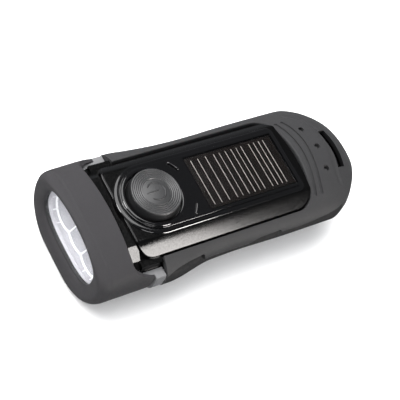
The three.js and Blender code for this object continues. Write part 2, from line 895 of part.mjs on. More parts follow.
function lensRing(x, margin) {
  const points = [];
  for (let side = 0; side < lensSides; side += 1) {
    const angle = -2 * Math.PI * side / lensSides;
    const round = (value) => Math.sign(value) * Math.abs(value) ** (2 / lensExponent);
    const y = (lensHalfWidth + margin) * round(Math.cos(angle));
    const z = lensCentreZ + (lensHalfHeight + margin) * round(Math.sin(angle));
    points.push(new THREE.Vector3(x, y, z));
  }
  return points;
}

function lensBody(fromX, toX, fromMargin, toMargin = fromMargin) {
  return loft([lensRing(fromX, fromMargin), lensRing(toX, toMargin)]);
}

function bezelRearCut() {
  const side = bezelHalfWidth + cutOverrun;
  const rear = bezelTabRearX + cutOverrun;
  const top = deckHeight + cutOverrun;
  const above = [];
  for (let step = 0; step <= bezelTabSteps; step += 1) {
    const share = step / bezelTabSteps;
    const x = housingFrontX + bezelTabLength * share ** bezelTabSweep;
    above.push(point(x, bezelTabTop + bezelTabRise * (1 - share)));
  }
  above.push(point(rear, bezelTabTop), point(rear, top), point(housingFrontX, top));
  const below = block(housingFrontX, rear, -side, side, -cutOverrun, bellyHeight);
  const middle = block(housingFrontX, rear, -bezelTabInner, bezelTabInner, -cutOverrun, top);
  return join(slab(above, -side, side), below, middle);
}

function frontBezel() {
  const rings = [];
  for (let step = 0; step <= bezelLipSteps; step += 1) {
    const angle = quarterTurn * step / bezelLipSteps;
    const x = frontX + bezelLipRadius * (1 - Math.cos(angle));
    rings.push(sectionRing(x, bezelSection(x, bezelLipRadius * (1 - Math.sin(angle)))));
  }
  rings.push(sectionRing(housingFrontX, bezelSection(housingFrontX, 0)));
  rings.push(sectionRing(bezelTabRearX, bezelSection(bezelTabRearX, 0)));
  const pocketStart = lensFrontX - lensSealThickness;
  const pocketMargin = lensMargin + runningGap;
  const collarStart = collarFrontX - runningGap;
  const collarPocket = loft([collarStart, housingFrontX + slipGap].map((x) => {
    return sectionRing(x, bezelSection(x, bezelRubber));
  }));
  return cut(
    loft(rings),
    lensBody(frontX - cutOverrun, lensFrontX, lensFlare + cutOverrun * lensFlareShare, 0),
    lensBody(pocketStart, collarStart + cutOverrun, pocketMargin),
    collarPocket,
    bodyStretch(housingFrontX, bezelTabRearX + cutOverrun, 0, 0),
    bezelRearCut(),
  );
}

function headCollar() {
  const rearX = housingFrontX - runningGap;
  const flange = loft([collarFrontX, rearX].map((x) => {
    return sectionRing(x, bezelSection(x, bezelRubber + runningGap));
  }));
  const spigotWall = rubberWall + runningGap + shellWall + runningGap;
  const spigotRearX = housingFrontX + collarSpigotLength;
  const spigot = bodyStretch(rearX - cutOverrun, spigotRearX, spigotWall, shellWall + runningGap);
  const wireRoom = block(
    frontX,
    0,
    -collarWireHalfWidth,
    collarWireHalfWidth,
    lensCentreZ - collarWireHalfHeight,
    lensCentreZ + collarWireHalfHeight,
  );
  return cut(join(flange, spigot), lensBody(frontX, rearX, collarBoreMargin + slipGap), wireRoom);
}

function reflector() {
  const body = lensBody(reflectorFrontX, reflectorRearX, collarBoreMargin);
  const depth = reflectorRearX - reflectorFrontX;
  const bowl = [point(0, -cutOverrun), point(cupThroatRadius, -cutOverrun)];
  for (let step = 0; step <= cupSteps; step += 1) {
    const share = step / cupSteps;
    const radius = cupThroatRadius + (cupRadius - cupThroatRadius) * Math.sqrt(share);
    bowl.push(point(radius, depth * share));
  }
  bowl.push(point(cupRadius, depth + cutOverrun), point(0, depth + cutOverrun));
  const cups = [-1, 0, 1].map((place) => {
    const geometry = new THREE.LatheGeometry(bowl, roundSides).rotateZ(quarterTurn);
    return toSolid(geometry.translate(reflectorRearX, place * cupPitch, lensCentreZ));
  });
  return cut(body, ...cups);
}

function led() {
  const dome = [[0, 0], [ledRadius + ledFlange, 0], [ledRadius + ledFlange, ledFlange * 2]];
  dome.push([ledRadius, ledFlange * 2]);
  const straight = ledLength - ledRadius;
  for (let step = 0; step <= cupSteps; step += 1) {
    const angle = quarterTurn * step / cupSteps;
    dome.push([ledRadius * Math.cos(angle), straight + ledRadius * Math.sin(angle)]);
  }
  dome[dome.length - 1][0] = 0;
  return turned(dome, smallSides);
}

function ledBoard() {
  const rearX = ledBoardFrontX + boardThickness;
  const low = lensCentreZ - ledBoardHalfHeight;
  const high = lensCentreZ + ledBoardHalfHeight;
  return block(ledBoardFrontX, rearX, -ledBoardHalfWidth, ledBoardHalfWidth, low, high);
}

// Deck panel and what it carries

function deckOutline(margin) {
  const radius = deckHalfWidth + margin;
  const rear = deckRearX + margin;
  const half = radius - deckRearCorner;
  const cornerX = rear - deckRearCorner;
  return [
    ...arc(buttonX, 0, radius, quarterTurn, halfTurn + quarterTurn, deckNoseSteps),
    ...arc(cornerX, -half, deckRearCorner, -quarterTurn, 0, deckCornerSteps),
    ...arc(cornerX, half, deckRearCorner, 0, quarterTurn, deckCornerSteps),
  ];
}

function snapRib(side) {
  const middle = side * snapAngle;
  const inner = arc(buttonX, 0, snapRadius, middle - snapHalfAngle, middle + snapHalfAngle, snapSteps);
  const outer = arc(
    buttonX,
    0,
    snapRadius + snapWidth,
    middle + snapHalfAngle,
    middle - snapHalfAngle,
    snapSteps,
  );
  return plate([...inner, ...outer], deckHeight - slipGap, deckHeight + snapHeight);
}

function deckPanel() {
  const bottom = deckHeight - insertDeckDrop;
  const skirtTop = bottom + deckSkirtHeight;
  const panel = join(
    plate(deckOutline(deckSkirt), bottom, skirtTop),
    plate(deckOutline(0), bottom, deckHeight),
    snapRib(1),
    snapRib(-1),
  );
  const recessBottom = deckHeight - solarCellThickness - solarWindowThickness;
  return cut(
    panel,
    rod(ringInnerRadius, bottom - cutOverrun, deckHeight + cutOverrun, [buttonX, 0], roundSides),
    solarBlock(runningGap, recessBottom, deckHeight + cutOverrun),
  );
}

function solarBlock(margin, bottom, top) {
  const half = solarHalfWidth + margin;
  return block(solarFrontX - margin, solarRearX + margin, -half, half, bottom, top);
}

function solarCell() {
  const bottom = deckHeight - solarCellThickness - solarWindowThickness;
  return solarBlock(-runningGap, bottom, bottom + solarCellThickness);
}

function solarWindow() {
  return solarBlock(0, deckHeight - solarWindowThickness, deckHeight);
}

function buttonCap() {
  const top = deckHeight + buttonRise - padThickness;
  const flangeTop = deckHeight - insertDeckDrop - runningGap;
  const flangeBottom = flangeTop - buttonFlangeHeight;
  const wallFoot = buttonFootRadius - buttonWall;
  const wallTop = buttonTopRadius - buttonWall;
  const roof = top - buttonWall;
  return turned([
    [0, plungerTop],
    [buttonBossRadius, plungerTop],
    [buttonBossRadius, roof],
    [wallTop, roof],
    [wallFoot, flangeBottom],
    [buttonFlangeRadius, flangeBottom],
    [buttonFlangeRadius, flangeTop],
    [buttonFootRadius, flangeTop],
    [buttonFootRadius, deckHeight],
    [buttonTopRadius, top],
    [0, top],
  ]);
}

function buttonPad() {
  const bottom = deckHeight + buttonRise - padThickness;
  const rim = bottom + padThickness - padDome;
  return turned([
    [0, bottom],
    [buttonTopRadius, bottom],
    [buttonTopRadius, rim - padDome],
    [buttonTopRadius * padRimShare, rim],
    [buttonTopRadius * padDomeShare, rim],
    [0, bottom + padThickness],
  ]);
}

// Boards, switch and cells

function mainBoard() {
  const half = mainBoardHalfWidth;
  const top = mainBoardBottom + boardThickness;
  const board = block(mainBoardFrontX, mainBoardRearX, -half, half, mainBoardBottom, top);
  const holes = boardScrewPlaces.map((place) => {
    return rod(boardScrewRadius + slipGap, mainBoardBottom - cutOverrun, deckHeight, place);
  });
  return cut(board, ...holes);
}

function switchBoard() {
  const bottom = switchBoardTop - switchBoardThickness;
  const half = switchBoardHalfWidth;
  return block(switchBoardFrontX, switchBoardRearX, -half, half, bottom, switchBoardTop);
}

function tactSwitch() {
  const half = switchSize / 2;
  const body = block(buttonX - half, buttonX + half, -half, half, switchBoardTop, switchTop);
  const wellBottom = switchBoardTop + switchWall;
  return cut(body, rod(plungerRadius + slipGap, wellBottom, deckHeight, [buttonX, 0]));
}

function switchPlunger() {
  const bottom = switchBoardTop + switchWall + buttonTravel + slipGap;
  return rod(plungerRadius, bottom, plungerTop);
}

function cell() {
  const end = cellLength / 2;
  const can = crossRod(cellRadius, -end, end, 0, 0, roundSides);
  return join(can, crossRod(cellTerminalRadius, 0, end + cellTerminalHeight, 0, 0));
}

function batteryCradle() {
  const floor = bellyHeight + shellWall;
  const half = cellCount * cellLength / 2 + (cellCount - 1) * cellGap;
  const side = half + cradleWall;
  const reach = cellRadius + cradleWall;
  const boardBottom = switchBoardTop - switchBoardThickness;
  const base = block(cellX - reach, cellX + reach, -side, side, floor, floor + cradleHeight);
  const ends = [-side, half].map((y) => {
    return block(cellX - cradleWall, cellX + cradleWall, y, y + cradleWall, floor, boardBottom);
  });
  const groove = crossRod(cellRadius + slipGap, -half, half, cellX, cellCentreZ(), roundSides);
  return cut(join(base, ...ends), groove);
}

function cellCentreZ() {
  return bellyHeight + shellWall + cradleBase + cellRadius;
}

// Crank

function crankArm() {
  const pivot = [-crankReach, 0];
  const forkEnd = -crankReach + knobStart + knobLength + armForkMargin;
  const cornerX = -crankReach - armTipOverhang + armTipCorner;
  const cornerY = armForkHalfWidth - armTipCorner;
  const blade = plate([
    ...arc(cornerX, cornerY, armTipCorner, quarterTurn, halfTurn, cornerArcSteps),
    ...arc(cornerX, -cornerY, armTipCorner, halfTurn, halfTurn + quarterTurn, cornerArcSteps),
    point(forkEnd, -armForkHalfWidth),
    point(forkEnd + armForkHalfWidth, -armNeckHalfWidth),
    point(0, -armNeckHalfWidth),
    point(0, armNeckHalfWidth),
    point(forkEnd + armForkHalfWidth, armNeckHalfWidth),
    point(forkEnd, armForkHalfWidth),
  ], armBottom, armTop);
  const hub = rod(crankHubRadius, armBottom, armTop, [0, 0], roundSides);
  const slotHalf = knobRadius + knobSideGap;
  const slotStart = pivot[0] - stemEyeRadius - eyeSlotExtra;
  const slotEnd = pivot[0] + knobStart + knobLength + eyeSlotExtra;
  const low = armBottom - cutOverrun;
  const high = armTop + cutOverrun;
  return cut(
    join(blade, hub),
    block(slotStart, slotEnd, -slotHalf, slotHalf, low, high),
    crossRod(hingePinRadius + slipGap, -armForkHalfWidth - cutOverrun, armForkHalfWidth + cutOverrun,
      pivot[0], knobAxisZ),
    rod(shaftRadius + slipGap, shaftBottom - slipGap, high, [0, 0], roundSides),
    rod(crankScrewHead + slipGap, low, crankScrewBottom + crankScrewHeadHeight),
    rod(crankScrewRadius + slipGap, low, high),
  );
}

function crankShaft() {
  const grooveRadius = shaftRadius - clipGrooveDepth;
  const grooveTop = clipBottom + clipThickness + slipGap;
  const groove = ring(grooveRadius, clipRadius, clipBottom - slipGap, grooveTop);
  const screwTop = crankScrewBottom + crankScrewLength + runningGap;
  const threadHole = rod(crankScrewRadius + slipGap, shaftBottom - cutOverrun, screwTop);
  return cut(rod(shaftRadius, shaftBottom, shaftTop, [0, 0], roundSides), groove, threadHole);
}

function shaftBush() {
  const floor = bellyHeight + shellWall;
  const barrel = rod(shaftRadius + bushWall, bellyHeight, floor + slipGap, [0, 0], roundSides);
  const flangeRadius = shaftRadius + bushWall + bushFlange;
  const flange = rod(flangeRadius, floor, floor + bushFlangeHeight, [0, 0], roundSides);
  const bore = rod(shaftRadius + slipGap, bellyHeight - cutOverrun, shaftTop, [0, 0], roundSides);
  return cut(join(barrel, flange), bore);
}

// The knob and its stem stand along +Z from the hinge pin, and lie along +X when folded
function knobStem() {
  const eye = crossRod(stemEyeRadius, -knobRadius, knobRadius, 0, 0);
  const headBottom = knobStart + knobLength - stemHeadRecess - stemHeadHeight;
  const shank = rod(stemRadius, 0, headBottom + slipGap);
  const head = rod(stemHeadRadius, headBottom, headBottom + stemHeadHeight);
  const pinHole = crossRod(
    hingePinRadius + slipGap,
    -knobRadius - cutOverrun,
    knobRadius + cutOverrun,
    0,
    0,
  );
  return cut(join(eye, shank, head), pinHole);
}

function crankKnob() {
  const top = knobStart + knobLength;
  const waistHeight = (knobStart + top) / 2;
  const sleeve = turned([
    [0, knobStart],
    [knobRadius - knobEndRound, knobStart],
    [knobRadius, knobStart + knobEndRound],
    [knobRadius - knobWaist, waistHeight],
    [knobRadius, top - knobEndRound],
    [knobRadius - knobEndRound, top],
    [0, top],
  ], roundSides);
  const headBottom = top - stemHeadRecess - stemHeadHeight - slipGap;
  return cut(
    sleeve,
    rod(knobBoreRadius, knobStart - cutOverrun, top),
    rod(stemHeadRadius + runningGap, headBottom, top + cutOverrun),
  );
}

// Gears with involute teeth

function gearOutline(teeth, module, turn, flankSteps) {
  const pitch = teeth * module / 2;
  const base = pitch * Math.cos(pressureAngle);
  const tip = pitch + addendumShare * module;
  const root = pitch - dedendumShare * module;
  const start = Math.max(base, root);
  const involute = (radius) => {
    const angle = Math.acos(Math.min(1, base / radius));
    return Math.tan(angle) - angle;
  };
  const halfAtPitch = quarterTurn / teeth - gearBacklash / (4 * pitch);
  const half = (radius) => halfAtPitch + involute(pitch) - involute(radius);
  const points = [];
  for (let tooth = 0; tooth < teeth; tooth += 1) {
    const middle = turn + 2 * Math.PI * tooth / teeth;
    const flank = [];
    if (root < start) {
      flank.push([root, half(start)]);
    }
    for (let step = 0; step <= flankSteps; step += 1) {
      const radius = start + (tip - start) * step / flankSteps;
      flank.push([radius, half(radius)]);
    }
    const rising = flank.map(([radius, angle]) => [radius, middle - angle]);
    const falling = flank.map(([radius, angle]) => [radius, middle + angle]).reverse();
    for (const [radius, angle] of [...rising, ...falling]) {
      points.push(point(radius * Math.cos(angle), radius * Math.sin(angle)));
    }
  }
  return points;
}

function wheel(teeth, module, turn, bottom, top) {
  return plate(gearOutline(teeth, module, turn, wheelFlankSteps), bottom, top);
}

function pinion(teeth, module, turn, bottom, top) {
  return plate(gearOutline(teeth, module, turn, pinionFlankSteps), bottom, top);
}

// Axes of the crank, the two compound gears and the rotor
function gearPlaces() {
  const distances = [
    driveModule * (driveTeeth + firstPinionTeeth) / 2,
    secondModule * (secondTeeth + secondPinionTeeth) / 2,
    thirdModule * (thirdTeeth + rotorTeeth) / 2,
  ];
  const places = [[crankX, 0]];
  distances.forEach((distance, step) => {
    const [x, y] = places[step];
    const angle = meshAngles[step];
    places.push([x + distance * Math.cos(angle), y + distance * Math.sin(angle)]);
  });
  return places;
}

// The turn that sets a tooth gap of the pinion on the tooth of the gear that drives it
function meshedTurn(angle, teeth) {
  return angle + halfTurn + halfTurn / teeth;
}

function driveGear() {
  const top = driveBottom + driveThickness;
  const lower = ring(driveWebInner, driveWebOuter, driveBottom - cutOverrun, driveBottom + driveWebDepth);
  const upper = ring(driveWebInner, driveWebOuter, top - driveWebDepth, top + cutOverrun);
  const bore = rod(shaftRadius + slipGap, 0, shaftTop + cutOverrun, [0, 0], roundSides);
  return cut(wheel(driveTeeth, driveModule, meshAngles[0], driveBottom, top), lower, upper, bore);
}

function compoundGearOne() {
  const pinionBottom = driveBottom - pinionOverlap;
  const pinionTop = driveBottom + driveThickness + pinionOverlap;
  const top = secondBottom + secondThickness;
  const pinionTurn = meshedTurn(meshAngles[0], firstPinionTeeth);
  return cut(
    join(
      pinion(firstPinionTeeth, driveModule, pinionTurn, pinionBottom, pinionTop),
      rod(gearSleeveRadius, pinionBottom, top),
      wheel(secondTeeth, secondModule, meshAngles[1], secondBottom, top),
    ),
    rod(axleRadius + slipGap, 0, deckHeight),
  );
}

function compoundGearTwo() {
  const wheelTop = thirdBottom + thirdThickness;
  const pinionTop = secondBottom + secondThickness + pinionOverlap;
  const pinionTurn = meshedTurn(meshAngles[1], secondPinionTeeth);
  return cut(
    join(
      wheel(thirdTeeth, thirdModule, meshAngles[2], thirdBottom, wheelTop),
      pinion(secondPinionTeeth, secondModule, pinionTurn, wheelTop - slipGap, pinionTop),
    ),
    rod(axleRadius + slipGap, 0, deckHeight),
  );
}

function generatorRotor() {
  const magnetBottom = canBottom + canWall + magnetLift;
  const pinionTurn = meshedTurn(meshAngles[2], rotorTeeth);
  const pinionTop = thirdBottom + thirdThickness + pinionOverlap;
  return join(
    rod(axleRadius, rotorShaftBottom, axleTop),
    rod(magnetRadius, magnetBottom, magnetBottom + magnetHeight, [0, 0], roundSides),
    pinion(rotorTeeth, thirdModule, pinionTurn, thirdBottom - pinionOverlap, pinionTop),
  );
}

function gearAxleTwo() {
  const shoulderTop = thirdBottom - runningGap;
  return join(rod(axleShoulderRadius, axleBottom, shoulderTop), rod(axleRadius, axleBottom, axleTop));
}

function generatorCan() {
  const inner = canRadius - canWall;
  const top = canBottom + canHeight;
  return cut(
    rod(canRadius, canBottom, top, [0, 0], roundSides),
    rod(inner, canBottom + canWall, top + cutOverrun, [0, 0], roundSides),
    rod(axleRadius + slipGap, 0, top),
  );
}

function generatorCap() {
  const bottom = canBottom + canHeight;
  return ring(canLidHole, canRadius, bottom, bottom + canLidThickness);
}

function statorWinding() {
  const bottom = canBottom + canWall;
  return ring(windingInner, windingOuter, bottom, bottom + windingHeight);
}

function plateBars(margin, bottom, top) {
  const [, first, second, rotor] = gearPlaces();
  const [nearPost, farPost] = plateScrewPlaces;
  const bars = [[nearPost, second], [second, rotor], [rotor, farPost], [first, second], [first, farPost]];
  return join(...bars.map(([from, to]) => link(from, to, margin, bottom, top)));
}

// Room under the deck for the gearbox plate and the first wheel
function gearboxRoom() {
  const [, first] = gearPlaces();
  const wheelRadius = secondModule * (secondTeeth / 2 + addendumShare) + plateRoom;
  const plateTop = plateBottom + plateThickness + plateScrewHeadHeight + runningGap;
  return join(
    plateBars(plateMargin + runningGap, partingHeight, plateTop),
    rod(wheelRadius, partingHeight, secondBottom + secondThickness + plateRoom, first, roundSides),
  );
}

function gearboxPlate() {
  const [, first, second, rotor] = gearPlaces();
  return cut(
    plateBars(plateMargin, plateBottom, plateBottom + plateThickness),
    ...[first, second, rotor].map((place) => rod(axleRadius + slipGap, 0, deckHeight, place)),
    ...plateScrewPlaces.map((place) => rod(plateScrewRadius + slipGap, 0, deckHeight, place)),
  );
}

// Materials

function finish(color, roughness, metalness = 0, opacity = 1) {
  const transparent = opacity < 1;
  return new THREE.MeshStandardMaterial({ color, roughness, metalness, opacity, transparent });
}

const gripRubber = finish(0x4d4c4f, 0.85);
const bezelFinish = finish(0x48474a, 0.85);
const glossBlack = finish(0x0c0c0d, 0.12);
const mattBlack = finish(0x1b1b1d, 0.6);
const housingGrey = finish(0x727275, 0.5);
const clearPlastic = finish(0xe8eef2, 0.05, 0, 0.3);
const mirrorSilver = finish(0xe6e6ea, 0.12, 1);
const whiteBoard = finish(0xeceae4, 0.5);
const greenBoard = finish(0x1d5a36, 0.5);
const ledWhite = finish(0xf4f4ee, 0.2);
const solarDark = finish(0x17120f, 0.25);
const steel = finish(0xb9bcc0, 0.3, 1);
const brass = finish(0xb08d4a, 0.35, 1);
const whiteNylon = finish(0xe2dfd6, 0.5);
const cellGreen = finish(0x3f7d4b, 0.4);
const copper = finish(0xa8562f, 0.4, 1);

// Scene graph

function piece(name, solid, material, place = [0, 0, 0]) {
  const mesh = new THREE.Mesh(toGeometry(solid), material);
  mesh.name = name;
  mesh.position.set(...place);
  return mesh;
}

function headGroup() {
  const group = new THREE.Group();
  const lensRearX = lensFrontX + lensThickness;
  const seal = cut(
    lensBody(lensFrontX - lensSealThickness, lensFrontX, lensMargin),
    lensBody(frontX, 0, slipGap),
  );
  group.add(
    piece('front_bezel', frontBezel(), bezelFinish),
    piece('lens_seal', seal, mattBlack),
    piece('lens', lensBody(lensFrontX, lensRearX, lensMargin), clearPlastic),
    piece('reflector', reflector(), mirrorSilver),
    piece('led_board', ledBoard(), whiteBoard),
    piece('head_collar', headCollar(), glossBlack),
  );
  [-1, 0, 1].forEach((side, step) => {
    const lamp = piece(`led_${step + 1}`, led(), ledWhite, [ledBoardFrontX, side * cupPitch, lensCentreZ]);
    lamp.rotation.y = -quarterTurn;
    group.add(lamp);
  });
  return group;
}

function caseGroup() {
  const group = new THREE.Group();
  group.add(
    piece('upper_housing', upperHousing(), glossBlack),
    piece('lower_housing', lowerHousing(), housingGrey),
    piece('housing_seal', housingSeal(), mattBlack),
    piece('tail_grip', tailGrip(), gripRubber),
    piece('deck_panel', deckPanel(), glossBlack),
    piece('solar_cell', solarCell(), solarDark),
    piece('solar_window', solarWindow(), clearPlastic),
  );
  const screwTop = housingScrewLength;
  housingScrewPlaces.forEach(([x, y], step) => {
    const solid = screw(housingScrewRadius, housingScrewHead, housingScrewHeadHeight, 0, screwTop);
    group.add(piece(`housing_screw_${step + 1}`, solid, steel, [x, y, housingScrewBottom]));
  });
  return group;
}

function buttonGroup() {
  const group = new THREE.Group();
  group.position.set(buttonX, 0, 0);
  const ringSolid = ring(ringInnerRadius, ringOuterRadius, deckHeight, deckHeight + ringHeight);
  group.add(
    piece('button_ring', ringSolid, glossBlack),
    piece('button_cap', buttonCap(), glossBlack),
    piece('button_pad', buttonPad(), gripRubber),
    piece('switch_plunger', switchPlunger(), mattBlack),
  );
  return group;
}

function electronicsGroup() {
  const group = new THREE.Group();
  group.add(
    piece('main_board', mainBoard(), greenBoard),
    piece('switch_board', switchBoard(), greenBoard),
    piece('tact_switch', tactSwitch(), mattBlack),
    piece('battery_cradle', batteryCradle(), mattBlack),
  );
  [-1, 0, 1].forEach((side, step) => {
    const place = [cellX, side * (cellLength + cellGap), cellCentreZ()];
    group.add(piece(`battery_cell_${step + 1}`, cell(), cellGreen, place));
  });
  const headBottom = mainBoardBottom - boardScrewHeadHeight;
  boardScrewPlaces.forEach(([x, y], step) => {
    const length = boardScrewTop - headBottom;
    const solid = screw(boardScrewRadius, boardScrewHead, boardScrewHeadHeight, 0, length);
    group.add(piece(`board_screw_${step + 1}`, solid, steel, [x, y, headBottom]));
  });
  return group;
}

function knobGroup() {
  const group = new THREE.Group();
  group.position.set(-crankReach, 0, knobAxisZ);
  const pinHalf = armForkHalfWidth;
  const folded = new THREE.Group();
  folded.rotation.y = quarterTurn;
  folded.add(
    piece('knob_stem', knobStem(), steel),
    piece('crank_knob', crankKnob(), mattBlack),
  );
  const pin = crossRod(hingePinRadius, -pinHalf, pinHalf, 0, 0);
  group.add(folded, piece('knob_hinge_pin', pin, steel));
  return group;
}

function crankGroup() {
  const group = new THREE.Group();
  group.position.set(crankX, 0, 0);
  const washerBottom = bellyHeight + shellWall + bushFlangeHeight;
  const crankScrewTop = crankScrewBottom + crankScrewLength;
  group.add(
    piece('crank_arm', crankArm(), mattBlack),
    piece('crank_shaft', crankShaft(), steel),
    piece('crank_screw', screw(
      crankScrewRadius,
      crankScrewHead,
      crankScrewHeadHeight,
      crankScrewBottom,
      crankScrewTop,
    ), steel),
    piece('shaft_bush', shaftBush(), brass),
    piece('shaft_seal', ring(sealRingInner, sealRingOuter, sealRingBottom, sealRingTop), mattBlack),
    piece('thrust_washer', ring(
      shaftRadius + slipGap,
      washerRadius,
      washerBottom + slipGap / 2,
      washerBottom + washerThickness,
    ), steel),
    piece('shaft_clip', ring(
      shaftRadius - clipGrooveDepth + slipGap,
      clipRadius,
      clipBottom,
      clipBottom + clipThickness,
    ), steel),
    piece('drive_gear', driveGear(), whiteNylon),
    knobGroup(),
  );
  return group;
}

function gearboxGroup() {
  const group = new THREE.Group();
  const [, first, second, rotor] = gearPlaces();
  const plateTop = plateBottom + plateThickness;
  group.add(
    piece('compound_gear_1', compoundGearOne(), whiteNylon, [...first, 0]),
    piece('compound_gear_2', compoundGearTwo(), whiteNylon, [...second, 0]),
    piece('gear_axle_1', rod(axleRadius, axleBottom, axleTop), steel, [...first, 0]),
    piece('gear_axle_2', gearAxleTwo(), steel, [...second, 0]),
    piece('gearbox_plate', gearboxPlate(), mattBlack),
  );
  const generator = new THREE.Group();
  generator.position.set(...rotor, 0);
  generator.add(
    piece('generator_rotor', generatorRotor(), brass),
    piece('generator_can', generatorCan(), steel),
    piece('generator_cap', generatorCap(), steel),
    piece('stator_winding', statorWinding(), copper),
  );
  group.add(generator);
  plateScrewPlaces.forEach(([x, y], step) => {
    const solid = screw(plateScrewRadius, plateScrewHead, plateScrewHeadHeight, 0, plateScrewLength);
    const mesh = piece(`plate_screw_${step + 1}`, solid, steel);
    mesh.position.set(x, y, plateTop + plateScrewHeadHeight);
    mesh.rotation.x = halfTurn;
    group.add(mesh);
  });
  return group;
}

const flashlight = new THREE.Group();
flashlight.add(headGroup(), caseGroup(), buttonGroup(), electronicsGroup(), crankGroup(), gearboxGroup());

export default flashlight;
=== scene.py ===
import json
import math

import bmesh
import bpy
import numpy as np
from mathutils import Matrix, Vector


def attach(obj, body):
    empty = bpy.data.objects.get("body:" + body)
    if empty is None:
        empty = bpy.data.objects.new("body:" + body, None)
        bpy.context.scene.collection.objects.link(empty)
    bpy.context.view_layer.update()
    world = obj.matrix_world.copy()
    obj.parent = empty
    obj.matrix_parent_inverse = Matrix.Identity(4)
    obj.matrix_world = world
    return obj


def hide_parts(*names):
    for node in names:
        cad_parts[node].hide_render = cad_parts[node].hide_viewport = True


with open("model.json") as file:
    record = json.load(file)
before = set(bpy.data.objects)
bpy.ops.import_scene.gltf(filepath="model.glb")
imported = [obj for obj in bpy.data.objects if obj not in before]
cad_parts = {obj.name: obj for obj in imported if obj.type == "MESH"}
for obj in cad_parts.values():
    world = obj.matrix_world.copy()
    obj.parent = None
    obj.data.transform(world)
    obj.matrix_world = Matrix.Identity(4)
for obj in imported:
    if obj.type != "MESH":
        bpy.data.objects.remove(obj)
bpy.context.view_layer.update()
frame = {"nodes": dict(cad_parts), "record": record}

# Lengths are written in millimetres and turned to metres when a mesh is made
MM = 0.001
TAU = 2 * math.pi
QUARTER = math.pi / 2

FRONT_X = -70.5
TAIL_X = 70.5
HOUSING_X = -54.2
GRIP_X = -39.4
TAB_X = -44.6
RIM_X = -67.95
LENS_X = -67.2
LENS_Z = 19.4
BUTTON_X = -34.3
CRANK_X = -4.2
PARTING_Z = 20.7
SEAL_HALF = 0.3


# Mesh helpers

MERGE_DISTANCE = 0.0001
AXIS_ORDERS = {"z": [0, 1, 2], "x": [2, 0, 1], "y": [1, 2, 0]}


def smooth(obj, angle=35):
    mesh = obj.data
    mesh.polygons.foreach_set("use_smooth", [True] * len(mesh.polygons))
    mesh.set_sharp_from_angle(angle=math.radians(angle))
    mesh.update()


def mesh_object(name, points, faces, angle=35):
    """A smooth mesh. Edges that bend by more than the angle stay sharp."""
    points = np.asarray(points, float).reshape(-1, 3) * MM
    mesh = bpy.data.meshes.new(name)
    mesh.from_pydata(points.tolist(), [], [list(map(int, face)) for face in faces])
    work = bmesh.new()
    work.from_mesh(mesh)
    bmesh.ops.remove_doubles(work, verts=work.verts, dist=MERGE_DISTANCE * MM)
    bmesh.ops.recalc_face_normals(work, faces=work.faces)
    work.to_mesh(mesh)
    work.free()
    obj = bpy.data.objects.new(name, mesh)
    bpy.context.scene.collection.objects.link(obj)
    smooth(obj, angle)
    return obj


def grid_faces(rows, columns, closed=False):
    """Faces between rings of points. A closed grid also joins the last ring to the first."""
    faces = []
    for row in range(rows if closed else rows - 1):
        start, above = row * columns, (row + 1) % rows * columns
        for column in range(columns):
            beside = (column + 1) % columns
            faces.append((start + column, start + beside, above + beside, above + column))
    return faces


def loft(name, rings, angle=35, start_cap=True):
    rings = np.asarray(rings, float)
    rows, columns = rings.shape[:2]
    faces = grid_faces(rows, columns)
    if start_cap:
        faces.append(tuple(range(columns)))
    faces.append(tuple((rows - 1) * columns + i for i in reversed(range(columns))))
    return mesh_object(name, rings, faces, angle)


def at_height(outline, height):
    """An outline's points with one height for all or one for each."""
    return np.column_stack([outline, np.broadcast_to(height, len(outline))])


def lathe(name, profile, place=(0, 0, 0), axis="z", sides=96, angle=35):
    """A turned body from (radius, height) points; the ends lie on the axis or close on each other."""
    turn = np.arange(sides) * TAU / sides
    circle = np.column_stack([np.cos(turn), np.sin(turn)])
    rings = np.array([at_height(radius * circle, height) for radius, height in profile])
    closed = profile[0][0] > 0 and profile[-1][0] > 0
    faces = grid_faces(len(profile), sides, closed)
    return mesh_object(name, rings[:, :, AXIS_ORDERS[axis]] + np.asarray(place, float), faces, angle)


def prism(name, outline, bottom, top, axis="z"):
    rings = np.array([at_height(outline, bottom), at_height(outline, top)])
    return loft(name, rings[:, :, AXIS_ORDERS[axis]])


def box(name, x0, x1, y0, y1, z0, z1):
    return prism(name, [(x0, y0), (x1, y0), (x1, y1), (x0, y1)], z0, z1)


def rod(name, radius, bottom, top, place=(0, 0), sides=48):
    return lathe(name, [(0, bottom), (radius, bottom), (radius, top), (0, top)], (*place, 0), sides=sides)


def rolled_plate(name, outline_at, bottom, top, edge, steps=5, both=False):
    """A plate with its upper edge, or both edges, rolled over. outline_at gives the outline for an inset."""
    turns = np.linspace(0, QUARTER, steps + 1)
    roll = [(edge * (1 - math.cos(turn)), edge * (1 - math.sin(turn))) for turn in turns]
    foot = [(inset, bottom + rise) for inset, rise in reversed(roll)] if both else [(0, bottom)]
    head = [(inset, top - drop) for inset, drop in roll]
    return loft(name, [at_height(outline_at(inset), height) for inset, height in foot + head])


def boolean(base, operation, tools, angle=35):
    for tool in tools:
        modifier = base.modifiers.new("tool", "BOOLEAN")
        modifier.operation = operation
        modifier.solver = "MANIFOLD"
        modifier.object = tool
    graph = bpy.context.evaluated_depsgraph_get()
    made = bpy.data.meshes.new_from_object(base.evaluated_get(graph))
    base.modifiers.clear()
    old = base.data
    base.data = made
    made.name = old.name
    bpy.data.meshes.remove(old)
    for tool in tools:
        bpy.data.objects.remove(tool)
    smooth(base, angle)
    return base


def cut(base, *tools, angle=35):
    return boolean(base, "DIFFERENCE", tools, angle)


def join(base, *tools):
    return boolean(base, "UNION", tools)


def common(base, tool):
    return boolean(base, "INTERSECT", [tool])


def arc(cx, cy, radius, start, end, steps):
    turn = np.linspace(start, end, steps + 1)
    return np.column_stack([cx + radius * np.cos(turn), cy + radius * np.sin(turn)])


